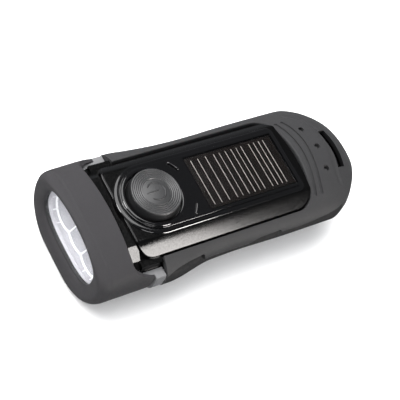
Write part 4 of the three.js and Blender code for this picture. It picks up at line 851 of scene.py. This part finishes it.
def make_grip():
    inner, outer = grip_lines()
    shares = np.concatenate([
        np.linspace(0, 0.12, 10, endpoint=False),
        0.12 + 0.88 * (1 - (1 - np.linspace(0, 1, 56)) ** 1.7),
    ])
    # Above the parting line the outline's points move outward in plan
    plan = inner[:, None] + (outer - inner)[:, None] * shares[:, None]
    px, py = plan[..., 0], plan[..., 1]
    pz = np.where(shares >= 1 - 1e-9, SIDE_TOP_Z, surface_z(px, py))
    # Below it they follow the lower corner down to the grip's edge
    levels = GRIP_EDGE_Z + np.concatenate([np.linspace(7.6, 0.6, 22), [0.3, 0.1, 0]])
    section = body(outer[:, 0], True)
    lx = np.repeat(outer[:, 0][:, None], len(levels), 1)
    ly = np.stack([lower_y(section, level) for level in levels], 1) * np.sign(outer[:, 1])[:, None]
    lz = np.repeat(levels[None, :], GRIP_POINTS, 0)
    x = np.concatenate([px, lx], 1)
    y = np.concatenate([py, ly], 1)
    z = np.concatenate([pz, lz], 1)
    outside = np.stack([x, y, z], 2)
    normal = np.cross(np.gradient(outside, axis=0), np.gradient(outside, axis=1))
    normal /= np.maximum(np.linalg.norm(normal, axis=2, keepdims=True), 1e-9)
    normal *= np.sign(normal[..., 2][z > 26].sum())
    valley = smooth_share(1 - line_distance(x, y, RIDGE) / RIDGE_HALF)
    relief = np.where(z > 22, -RIDGE_DROP * valley, 0) - channel_depth(x, z)
    outside = outside + normal * relief[..., None]
    # The window's lip rolls over and the shell closes on the inside
    distance = np.hypot(outside[..., 0] - inner[:, None, 0], outside[..., 1] - inner[:, None, 1])
    drop = rolled_drop(distance, GRIP_LIP)
    drop[:, shares.size:] = 0
    outside[..., 2] -= drop
    inside = (outside - normal * GRIP_WALL)[:, ::-1][:, 2:-3:2]
    edge = outside[:, 0, 2]
    lip_wall = np.stack([at_height(inner, edge - LIP_WALL_FOOT), at_height(inner, edge - LIP_WALL_TOP)], 1)
    return loft("grip_shell", np.concatenate([outside, inside, lip_wall], 1), angle=50)


def groove_tool(line):
    height = surface_z(line[:, 0], line[:, 1]) + GROOVE_RADIUS - GROOVE_DEPTH
    return bead("groove", at_height(line, height), GROOVE_RADIUS, 14)


def dot_tool(place):
    top = surface_z(*place)
    profile = [(radius, top + height) for radius, height in DOT_PROFILE]
    return lathe("dot", profile, (*place, 0), sides=40)


# Walls of the dots, which get near-black as painted shade inside the small holes.
def in_dot(place, normal):
    away = min(math.hypot(place.x - x, place.y - y) for x, y in DOTS)
    return away < DOT_REACH and place.z < surface_z(place.x, place.y) - 0.2


# Faces of the channel under the side ridge, which get painted shade.
def in_channel(place, normal):
    edge = float(np.interp(place.x, RIDGE_XS, RIDGE_ZS))
    beside = CHANNEL_START_X < place.x < CHANNEL_END_X and abs(place.y) > CHANNEL_INNER_HALF
    return beside and CHANNEL_LOW_Z < place.z < edge - 0.1


grip = make_grip()
cut(grip, slot_tool(5, 40), *map(groove_tool, GROOVES), *map(dot_tool, DOTS), angle=50)
stands_for(grip, "case", "grip_rubber", "tail_grip")
# The strap slot's walls are painted near-black: painted shade.
paint(grip, "symbol_black_and_painted_shade", in_slot)
# The dots' walls are painted near-black: painted shade.
paint(grip, "symbol_black_and_painted_shade", in_dot)
# The channel under the side ridge gets painted shade: a darker copy of the rubber.
paint(grip, "grip_painted_shade", in_channel)


# Housing

HOUSING_INSET = 2.6
UPPER_BOTTOM_Z = PARTING_Z + SEAL_HALF
LOWER_TOP_Z = PARTING_Z - SEAL_HALF
CAVITY_WALL = 4.6
CAVITY_FLOOR = 2.0
CAVITY_START_X = -56.2
CAVITY_END_X = 51.8
SCREW_PLACES = ((-47.4, -13.5), (-47.4, 13.5), (53, -12), (53, 12))
SCREW_RADIUS = 1.38
SCREW_HEAD_RADIUS = 2.8
SCREW_HEAD_TOP_Z = 12.1
SCREW_TOP_Z = 25.8
POST_RADIUS = 3.6
POST_FOOT_Z = 10.5
WINDOW_GAP = 0.4
INSERT_FRONT_X = -49.8
INSERT_FRONT_CORNER = 8.0
INSERT_FLAT = 16.2
INSERT_SIDE = 22.2
INSERT_Z = 32.5
INSERT_SIDE_Z = 26.8
INSERT_BULGE = 1.4
INSERT_RIM_X = -49
INSERT_FRONT_LIP = 0.12
INSERT_SIDE_LIP = 0.8
# Side place and half width of the two clips at the insert's front
INSERT_CLIPS = ((15.0, 1.6), (-8.2, 2.2))
SKIRT_Z = 23.5
# Place along the torch and inset of the collar flange's rings
FLANGE_PROFILE = ((-54.1, 1.9), (-53.0, 1.9), (-52.9, 1.7), (-52.75, 1.6), (-52.6, 1.7), (-52.45, 2.0),
                  (-52.4, 2.9))
FLANGE_HALF = 21.3
SHOULDER_Z = 30.9
SHOULDER_SLOPE = 0.93
SHOULDER_END = 21.2
SHOULDER_SIDE = [(23.5, 25.1), (23.9, 22.6), (24.0, SIDE_TOP_Z)]
BLOCK_HALF = 24.2
BLOCK_TOP_Z = 26.5
BLOCK_X = -49.6
SHOULDER_GAP = 0.6
FLANGE_ROOM = 2.1
POCKET_TOP_Z = 30.4
POCKET_FRONT_X = -19.6
POCKET_REAR_X = 35.8
POCKET_HALF = 14.5
BUTTON_WELL_RADIUS = 12.9
STEM_HOLE_RADIUS = 3.4
LEDGE_Z = 23.0
LEDGE_DEPTH = 2.3
LEDGE_GAP = 0.3
STRIP_TOP_Z = 12.7
STRIP_X = -39.78
BUSH_RADIUS = 5.06
FOOT_CORNER = 8
FOOT_FRONT_X = 47.3
FOOT_REAR_X = 64.8
FOOT_EDGE = 0.8
WIDE = 32
HIGH = 40


def slab(low, high):
    """Everything between two heights."""
    return box("slab", FRONT_X, TAIL_X + 2, -WIDE, WIDE, low, high)


def cavity():
    return body_loft("cavity", CAVITY_START_X, CAVITY_WALL, CAVITY_FLOOR, end=CAVITY_END_X)


def screw_tools():
    tools = []
    for place in SCREW_PLACES:
        tools.append(rod("head_hole", SCREW_HEAD_RADIUS, -2, SCREW_HEAD_TOP_Z, place))
        tools.append(rod("screw_hole", SCREW_RADIUS, 0, SCREW_TOP_Z, place))
    return tools


def insert_height(y):
    share = np.clip((np.abs(y) - INSERT_FLAT) / (INSERT_SIDE - INSERT_FLAT), 0, 1)
    return INSERT_Z + (INSERT_SIDE_Z - INSERT_Z) * share + INSERT_BULGE * share * (1 - share)


def make_insert():
    """The gloss insert: a flat deck that rolls down to the rail on both sides."""
    outline = window_outline(WINDOW_GAP, INSERT_FRONT_X, INSERT_FRONT_CORNER)
    centre = np.column_stack([np.clip(outline[:, 0], -30, 20), np.zeros(len(outline))])
    shares = 1 - (1 - np.linspace(0, 1, 60))[:, None] ** 1.6
    x = centre[:, 0] + (outline[:, 0] - centre[:, 0]) * shares
    y = outline[:, 1] * shares
    distance = (1 - shares) * np.hypot(outline[:, 0] - centre[:, 0], outline[:, 1])
    lip = np.interp(outline[:, 0], (INSERT_RIM_X, INSERT_RIM_X + 5), (INSERT_FRONT_LIP, INSERT_SIDE_LIP))
    for place, half in INSERT_CLIPS:
        clip = np.exp(-((outline[:, 1] - place) / half) ** 4)
        lip = lip + (outline[:, 0] < INSERT_RIM_X) * INSERT_SIDE_LIP * clip
    top = np.stack([x, y, insert_height(y) - rolled_drop(distance, lip)], 2)
    skirt = [at_height(outline, SKIRT_Z), at_height(outline, SIDE_TOP_Z)]
    return loft("insert", np.concatenate([top, skirt])[:, ::-1], start_cap=False)


def make_upper():
    shell = common(body_loft("upper_shell", HOUSING_X, HOUSING_INSET, 0), slab(UPPER_BOTTOM_Z, HIGH))
    flange = loft("flange", [section_ring(x, body(x, False, amount, 0)) for x, amount in FLANGE_PROFILE])
    common(flange, box("slab", FRONT_X, TAIL_X, -FLANGE_HALF, FLANGE_HALF, UPPER_BOTTOM_Z, HIGH))
    slope = np.linspace(INSERT_FLAT, SHOULDER_END, 12)
    rolled = np.column_stack([slope, SHOULDER_Z - SHOULDER_SLOPE * (slope - INSERT_FLAT)])
    side = np.vstack([rolled, SHOULDER_SIDE])
    shoulder = prism("shoulder", np.vstack([side, (side * np.array([-1, 1]))[::-1]]),
                     HOUSING_X + SHOULDER_GAP, INSERT_RIM_X, axis="x")
    half = BLOCK_HALF
    corners = [(half, SIDE_TOP_Z), (half, BLOCK_TOP_Z), (-half, BLOCK_TOP_Z), (-half, SIDE_TOP_Z)]
    block = prism("block", corners, BLOCK_X, GRIP_X - LEDGE_GAP, axis="x")
    join(shell, flange, shoulder, block, make_insert())
    pocket = box("pocket", POCKET_FRONT_X, POCKET_REAR_X, -POCKET_HALF, POCKET_HALF, 20, POCKET_TOP_Z)
    cut(shell, join(cavity(), pocket))
    well = rod("well", BUTTON_WELL_RADIUS, 30, 36, (BUTTON_X, 0), 96)
    return cut(shell, well, rod("stem_hole", STEM_HOLE_RADIUS, 24, 31, (BUTTON_X, 0)), slot_tool(5, HIGH),
               *screw_tools())


def above_ledge():
    """The room over the ledge that the upper shell fills."""
    return common(body_loft("above", HOUSING_X - 1, LEDGE_DEPTH, -20, end=GRIP_X), slab(LOWER_TOP_Z, HIGH))


def foot_outline(inset):
    corner, y = FOOT_CORNER - inset, FOOT_CORNER
    front, rear = FOOT_FRONT_X + FOOT_CORNER, FOOT_REAR_X - FOOT_CORNER
    places = ((rear, y, QUARTER), (rear, -y, 0), (front, -y, -QUARTER), (front, y, math.pi))
    return np.vstack([arc(x, side, corner, start, start - QUARTER, 14) for x, side, start in places])


def make_lower():
    shell = body_loft("lower_shell", HOUSING_X, HOUSING_INSET, 0)
    collar = body_loft("collar", TAB_X + LEDGE_GAP, LEDGE_GAP, 0, True, end=GRIP_X - LEDGE_GAP)
    common(collar, slab(0, LEDGE_Z))
    band = body_loft("band", HOUSING_X + LEDGE_GAP, LEDGE_GAP, 0, end=GRIP_X - 0.4)
    common(band, slab(0, LEDGE_Z))
    cut(band, above_ledge(), box("room", HOUSING_X, HOUSING_X + FLANGE_ROOM, -WIDE, WIDE, LOWER_TOP_Z, HIGH))
    cut(collar, above_ledge())
    strip = common(body_loft("strip", STRIP_X, 0, 0), slab(0, STRIP_TOP_Z))
    foot = rolled_plate("foot", foot_outline, -STRIP_TOP_Z, 0, FOOT_EDGE)
    foot.data.transform(Matrix.Diagonal((1, 1, -1, 1)))
    foot.data.flip_normals()
    common(shell, slab(0, LOWER_TOP_Z))
    join(shell, band, collar, strip, foot)
    cut(shell, cavity())
    join(shell, *[rod("post", POST_RADIUS, POST_FOOT_Z, LOWER_TOP_Z, place) for place in SCREW_PLACES[:2]])
    return cut(shell, rod("bush_hole", BUSH_RADIUS, 0, 20, (CRANK_X, 0)), slot_tool(-5, HIGH), *screw_tools())


upper = make_upper()
stands_for(upper, "case", "gloss_black", "upper_housing", look="insert_black")
# The strap slot's walls are painted near-black: painted shade.
paint(upper, "symbol_black_and_painted_shade", in_slot)
lower = make_lower()
stands_for(lower, "case", "housing_grey", "lower_housing")
# The strap slot's walls are painted near-black: painted shade.
paint(lower, "symbol_black_and_painted_shade", in_slot)


# Deck panel and solar cell

DECK_Z = 34
DECK_PLATE = 1.6
DECK_EDGE = 0.25
# Nose radius, rear end and rear corner radius of the plate and of the base under it
PLATE_SHAPE = (14, 32.2, 1.6)
BASE_SHAPE = (16.1, 34.2, 3.0)
# Inset and height of the rings of the base
BASE_PROFILE = ((0, 31.9), (0, 32.6), (0.08, 32.8), (0.25, 33.02), (0.5, 33.19), (0.8, 33.29), (1.4, 33.33))
CORNER_INSET_SHARE = 0.9
RIB_RADIUS = 0.6
RIB_REACH = 18.3
RIB_ANGLE = 0.61
RIB_HALF_ANGLE = 0.12
PANEL_WELL_RADIUS = 11.8
RECESS_Z = 33
RECESS_GAP = 0.6
CELL_FRONT_X = -12.8
CELL_REAR_X = 30.7
CELL_HALF = 12.1
CELL_THICK = 0.42
COVER_GAP = 0.3
LINED_LENGTH = 37
LINED_X = -10.2
LINE_PIXELS = (190.7, 197.5, 205, 213, 218.5, 224.5, 230.5, 235.5, 240.5, 248.5, 253.5, 258.5, 263)
LINE_HALF = 0.14
THIN_LINES = (4, 7)
THIN_LINE_HALF = 0.11
LINE_REACH = 10.7
LINE_FOOT_Z = 33.4
LINE_TOP_Z = 33.46


def stadium(shape, inset):
    """Outline with a round nose round the button, drawn in by an inset."""
    radius, rear, corner = shape
    radius, rear, corner = radius - inset, rear - inset, corner - inset * CORNER_INSET_SHARE
    half = radius - corner
    return np.vstack([
        arc(BUTTON_X, 0, radius, QUARTER, 3 * QUARTER, 48),
        arc(rear - corner, -half, corner, -QUARTER, 0, 8),
        arc(rear - corner, half, corner, 0, QUARTER, 8),
    ])


def make_deck():
    panel = rolled_plate("deck_plate", lambda inset: stadium(PLATE_SHAPE, inset), DECK_Z - DECK_PLATE, DECK_Z,
                         DECK_EDGE)
    rings = [at_height(stadium(BASE_SHAPE, inset), height) for inset, height in BASE_PROFILE]
    join(panel, loft("deck_base", rings))
    for middle in (-RIB_ANGLE, RIB_ANGLE):
        bend = arc(BUTTON_X, 0, RIB_REACH, middle - RIB_HALF_ANGLE, middle + RIB_HALF_ANGLE, 14)
        join(panel, bead("rib", at_height(bend, DECK_Z + 0.15), RIB_RADIUS, 16))
    half = CELL_HALF + RECESS_GAP
    recess = box("recess", CELL_FRONT_X - RECESS_GAP, CELL_REAR_X + RECESS_GAP, -half, half, RECESS_Z, 36)
    return cut(panel, rod("well", PANEL_WELL_RADIUS, 30, 36, (BUTTON_X, 0), 96), recess)


def make_solar_lines():
    first, last = LINE_PIXELS[0], LINE_PIXELS[-1]
    lines = []
    for number, pixel in enumerate(LINE_PIXELS):
        x = LINED_X + LINED_LENGTH * (pixel - first) / (last - first)
        half = THIN_LINE_HALF if number in THIN_LINES else LINE_HALF
        lines.append(box("solar_lines", x - half, x + half, -LINE_REACH, LINE_REACH, LINE_FOOT_Z, LINE_TOP_Z))
    return join(*lines)


def cover_outline(inset):
    grown = COVER_GAP - inset
    front, rear, side = CELL_FRONT_X - grown, CELL_REAR_X + grown, CELL_HALF + grown
    return np.array([(front, -side), (rear, -side), (rear, side), (front, side)])


stands_for(make_deck(), "case", "gloss_black", "deck_panel")
cell = box("solar_plate", CELL_FRONT_X, CELL_REAR_X, -CELL_HALF, CELL_HALF, RECESS_Z, RECESS_Z + CELL_THICK)
stands_for(cell, "case", "solar_dark", "solar_cell")
stands_for(make_solar_lines(), "case", "solar_dark", look="solar_silver")
cover = rolled_plate("solar_cover", cover_outline, DECK_Z - 0.5, DECK_Z, 0.15, 3)
stands_for(cover, "case", "clear_plastic", "solar_window", look="clear_window")


# Button

PAD_Z = 37.65
PAD_RADIUS = 10.5
PAD_RIM_Z = 37.9
PAD_EDGE = 0.4
PAD_RISE = 0.3
RING_OUTER = 10.0
RING_INNER = 6.0
RING_STEP = 0.8
RING_Z = 37.99
RING_RISE = 0.2
DOME_BASE = 37.9
DOME_RADIUS = 5.8
DOME_RISE = 0.55
# Radius and height
BUTTON_WALL = ((0, 30.8), (2.4, 30.8), (2.4, 36.2), (9.1, 36.2), (9.8, 31.3), (12.4, 31.3), (12.5, 31.4),
               (12.5, 32.1), (12.4, 32.2), (11.2, 32.2), (11.2, 34.0), (10.95, 35.5), (10.62, 37.3),
               (10.5, 37.55), (10.35, PAD_Z), (0, PAD_Z))
BUTTON_COLLAR = ((11.8, 33.7), (13.5, 33.7), (13.5, 34.35), (13.3, 34.6), (13.0, 34.7), (12.3, 34.7),
                 (12.0, 34.6), (11.8, 34.4))
MARK_RADIUS = 3.9
MARK_OPENING = 0.75
MARK_BAR = (-4.2, 0.6)
MARK_BEAD = 0.36
MARK_SUNK = 0.17


def dome_height(radius):
    return DOME_BASE + DOME_RISE * np.clip(1 - (radius / DOME_RADIUS) ** 2, 0, 1)


def make_pad():
    """The rubber pad: rings of fine waves round a low dome."""
    profile = [(0, PAD_Z), (PAD_RADIUS, PAD_Z), (PAD_RADIUS, PAD_RIM_Z)]
    for turn in np.linspace(0, QUARTER, 5):
        radius = PAD_RADIUS - PAD_EDGE * (1 - math.cos(turn))
        profile.append((radius, PAD_RIM_Z + PAD_RISE * math.sin(turn)))
    for radius in np.linspace(RING_OUTER, RING_INNER, 81):
        wave = 0.5 + 0.5 * math.cos((radius - RING_INNER) / RING_STEP * TAU)
        profile.append((radius, RING_Z + RING_RISE * wave))
    for radius in np.linspace(DOME_RADIUS, 0, 20):
        profile.append((radius, dome_height(radius)))
    return lathe("button_face", profile, (BUTTON_X, 0, 0), sides=128, angle=60)


def make_power_mark():
    """The power symbol: an open circle with a bar through the opening."""
    sweep = np.linspace(math.pi + MARK_OPENING, 3 * math.pi - MARK_OPENING, 40)
    circle = MARK_RADIUS * np.column_stack([np.cos(sweep), np.sin(sweep)])
    bar = np.column_stack([np.linspace(*MARK_BAR, 10), np.zeros(10)])
    marks = []
    for line in (circle, bar):
        height = dome_height(np.hypot(line[:, 0], line[:, 1])) - MARK_SUNK
        marks.append(bead("power_mark", at_height(line + (BUTTON_X, 0), height), MARK_BEAD))
    return join(*marks)


stands_for(make_pad(), "button", "grip_rubber", "button_pad", look="pad_rubber")
wall = lathe("button_wall", BUTTON_WALL, (BUTTON_X, 0, 0), sides=128)
stands_for(wall, "button", "gloss_black", "button_cap", look="satin_black")
collar = lathe("button_collar", BUTTON_COLLAR, (BUTTON_X, 0, 0), sides=128)
stands_for(collar, "case", "gloss_black", "button_ring")
stands_for(make_power_mark(), "button", "matt_black", look="symbol_black_and_painted_shade")


# Crank

PIVOT_X = CRANK_X - 44
PIVOT_Z = 5.3
ARM_BOTTOM = 4.4
ARM_TOP = 9.3
ARM_EDGE = 0.7
ARM_HALF = 7.4
NECK_HALF = 4.6
ARM_CORNER = 4.0
ARM_TIP = 5.3
# Radius and height of the arm's hub
HUB = ((0, ARM_BOTTOM), (8.2, ARM_BOTTOM), (8.75, 4.65), (9, 5.2), (9, 8.6), (8.7, 9.1), (8.3, ARM_TOP),
       (0, ARM_TOP))
FORK_HALF = 4.7
FORK_FRONT = 3.0
FORK_REAR = 21.5
FORK_TAPER = 7.4
PIN_RADIUS = 1.18
SHAFT_RADIUS = 3.28
SHAFT_FOOT_Z = 6.72
HEAD_RADIUS = 2.78
HEAD_TOP_Z = 6.2
KNOB_START = 4.6
KNOB_END = 21.0
KNOB_RADIUS = 4.2
KNOB_BORE = 1.8
KNOB_EDGE = 0.8
KNOB_WAIST = 0.5
KNOB_RIBS = 14
KNOB_RIB = 0.14


def arm_outline(inset):
    tip, half, neck = ARM_CORNER - inset, ARM_HALF - inset, NECK_HALF - inset
    corner_x, corner_y = PIVOT_X - ARM_TIP + ARM_CORNER, ARM_HALF - ARM_CORNER
    fork_end = PIVOT_X + KNOB_END + 2
    return np.vstack([
        arc(corner_x, corner_y, tip, QUARTER, math.pi, 10),
        arc(corner_x, -corner_y, tip, math.pi, 3 * QUARTER, 10),
        [(fork_end, -half), (fork_end + FORK_TAPER, -neck), (CRANK_X, -neck), (CRANK_X, neck),
         (fork_end + FORK_TAPER, neck), (fork_end, half)],
    ])


def make_arm():
    arm = rolled_plate("crank_blade", arm_outline, ARM_BOTTOM, ARM_TOP, ARM_EDGE, 4, both=True)
    join(arm, lathe("hub", HUB, (CRANK_X, 0, 0), sides=72))
    fork = box("fork", PIVOT_X - FORK_FRONT, PIVOT_X + FORK_REAR, -FORK_HALF, FORK_HALF, 4.0, 9.8)
    pin = [(0, -9), (PIN_RADIUS, -9), (PIN_RADIUS, 9), (0, 9)]
    return cut(arm, fork,
               rod("bore", SHAFT_RADIUS, SHAFT_FOOT_Z, 12, (CRANK_X, 0)),
               rod("head", HEAD_RADIUS, 2, HEAD_TOP_Z, (CRANK_X, 0)),
               rod("shank", SCREW_RADIUS, 2, 12, (CRANK_X, 0)),
               lathe("pin", pin, (PIVOT_X, 0, PIVOT_Z), axis="y", sides=32))


def make_knob():
    profile = [(KNOB_BORE, KNOB_START), (3.4, KNOB_START), (3.9, KNOB_START + 0.25),
               (KNOB_RADIUS, KNOB_START + KNOB_EDGE)]
    for share in np.linspace(0.05, 0.95, 37):
        x = KNOB_START + KNOB_EDGE + (KNOB_END - KNOB_START - 2 * KNOB_EDGE) * share
        waist = KNOB_WAIST * math.sin(math.pi * share)
        rib = KNOB_RIB * max(0, math.cos(share * KNOB_RIBS * TAU)) if 0.1 < share < 0.9 else 0
        profile.append((KNOB_RADIUS - waist - rib, x))
    profile += [(KNOB_RADIUS, KNOB_END - KNOB_EDGE), (3.95, KNOB_END - 0.3), (3.4, KNOB_END), (3.1, KNOB_END),
                (3.1, KNOB_END - 1.9), (KNOB_BORE, KNOB_END - 1.9)]
    return lathe("knob_sleeve", profile, (PIVOT_X, 0, PIVOT_Z), axis="x", sides=64)


stands_for(make_arm(), "crank", "matt_black", "crank_arm")
stands_for(make_knob(), "knob", "matt_black", "crank_knob")


# Camera, floor and light

# The camera and the lights are placed in metres
PHOTO_PIXELS = 400
FOCAL_PIXELS = 1247.72
SENSOR_WIDTH = 36
CAMERA_PLACE = Vector((-0.27588, -0.17201, 0.42501))
CAMERA_RIGHT = Vector((0.81446, -0.46669, 0.34475))
CAMERA_DOWN = Vector((-0.25260, -0.82011, -0.51343))
CAMERA_FORWARD = Vector((0.52235, 0.33109, -0.78583))
MIDDLE = (0, 0, 0.02)
WHITE = (1, 1, 1)
WARM_WHITE = (1.0, 0.965, 0.94)
FLOOR_HALF = 3000

camera_data = bpy.data.cameras.new("camera")
camera_data.sensor_width = SENSOR_WIDTH
camera_data.lens = FOCAL_PIXELS / PHOTO_PIXELS * SENSOR_WIDTH
camera_data.clip_start = 0.05
camera_data.clip_end = 20
camera = bpy.data.objects.new("camera", camera_data)
bpy.context.scene.collection.objects.link(camera)
turn = Matrix((CAMERA_RIGHT, -CAMERA_DOWN, -CAMERA_FORWARD)).transposed().to_4x4()
camera.matrix_world = Matrix.Translation(CAMERA_PLACE) @ turn
bpy.context.scene.camera = camera

floor_corners = FLOOR_HALF * np.array([(-1, -1, 0), (1, -1, 0), (1, 1, 0), (-1, 1, 0)])
floor = mesh_object("floor", floor_corners, [(0, 1, 2, 3)])
surface("floor_paper", (0.92, 0.92, 0.92), 0.7, vary=0.01, grain=300, bump=0.02, cloud=8)
use(floor, "floor_paper")
floor.visible_glossy = False


def area_light(name, place, target, size, power, colour=WHITE, diffuse=True, glossy=True):
    data = bpy.data.lights.new(name, "AREA")
    data.shape = "RECTANGLE"
    data.size, data.size_y = size
    data.energy = power
    data.color = colour
    light = bpy.data.objects.new(name, data)
    bpy.context.scene.collection.objects.link(light)
    light.location = place
    light.rotation_euler = (Vector(target) - Vector(place)).to_track_quat("-Z", "Y").to_euler()
    light.visible_diffuse = diffuse
    light.visible_glossy = glossy


area_light("key", (-0.3, 0.65, 1.15), (0, 0, 0), (1.6, 1.6), 48)
area_light("overhead", (-0.6, -0.3, 1.6), (-0.6, -0.3, 0), (2.8, 2.8), 50, glossy=False)
area_light("rim", (0.75, 1.0, 0.6), (0, 0, 0), (0.8, 0.8), 7, glossy=False)
area_light("card", (0.38, -0.94, 0.315), MIDDLE, (0.36, 0.44), 25, WARM_WHITE, diffuse=False)
area_light("side_card", (-0.87, 0.36, 0.57), MIDDLE, (0.35, 0.35), 11, diffuse=False)
area_light("front_card", (-0.45, -0.95, 0.45), MIDDLE, (0.5, 0.3), 5, diffuse=False)
area_light("head", (-0.9, -0.1, 0.35), (-0.06, 0, 0.02), (0.7, 0.5), 1.0)
bpy.context.scene.view_settings.view_transform = "Standard"

world = bpy.data.worlds.new("studio")
world.use_nodes = True
background = world.node_tree.nodes["Background"]
background.inputs["Color"].default_value = (0.9, 0.93, 1.0, 1)
background.inputs["Strength"].default_value = 0.22
bpy.context.scene.world = world
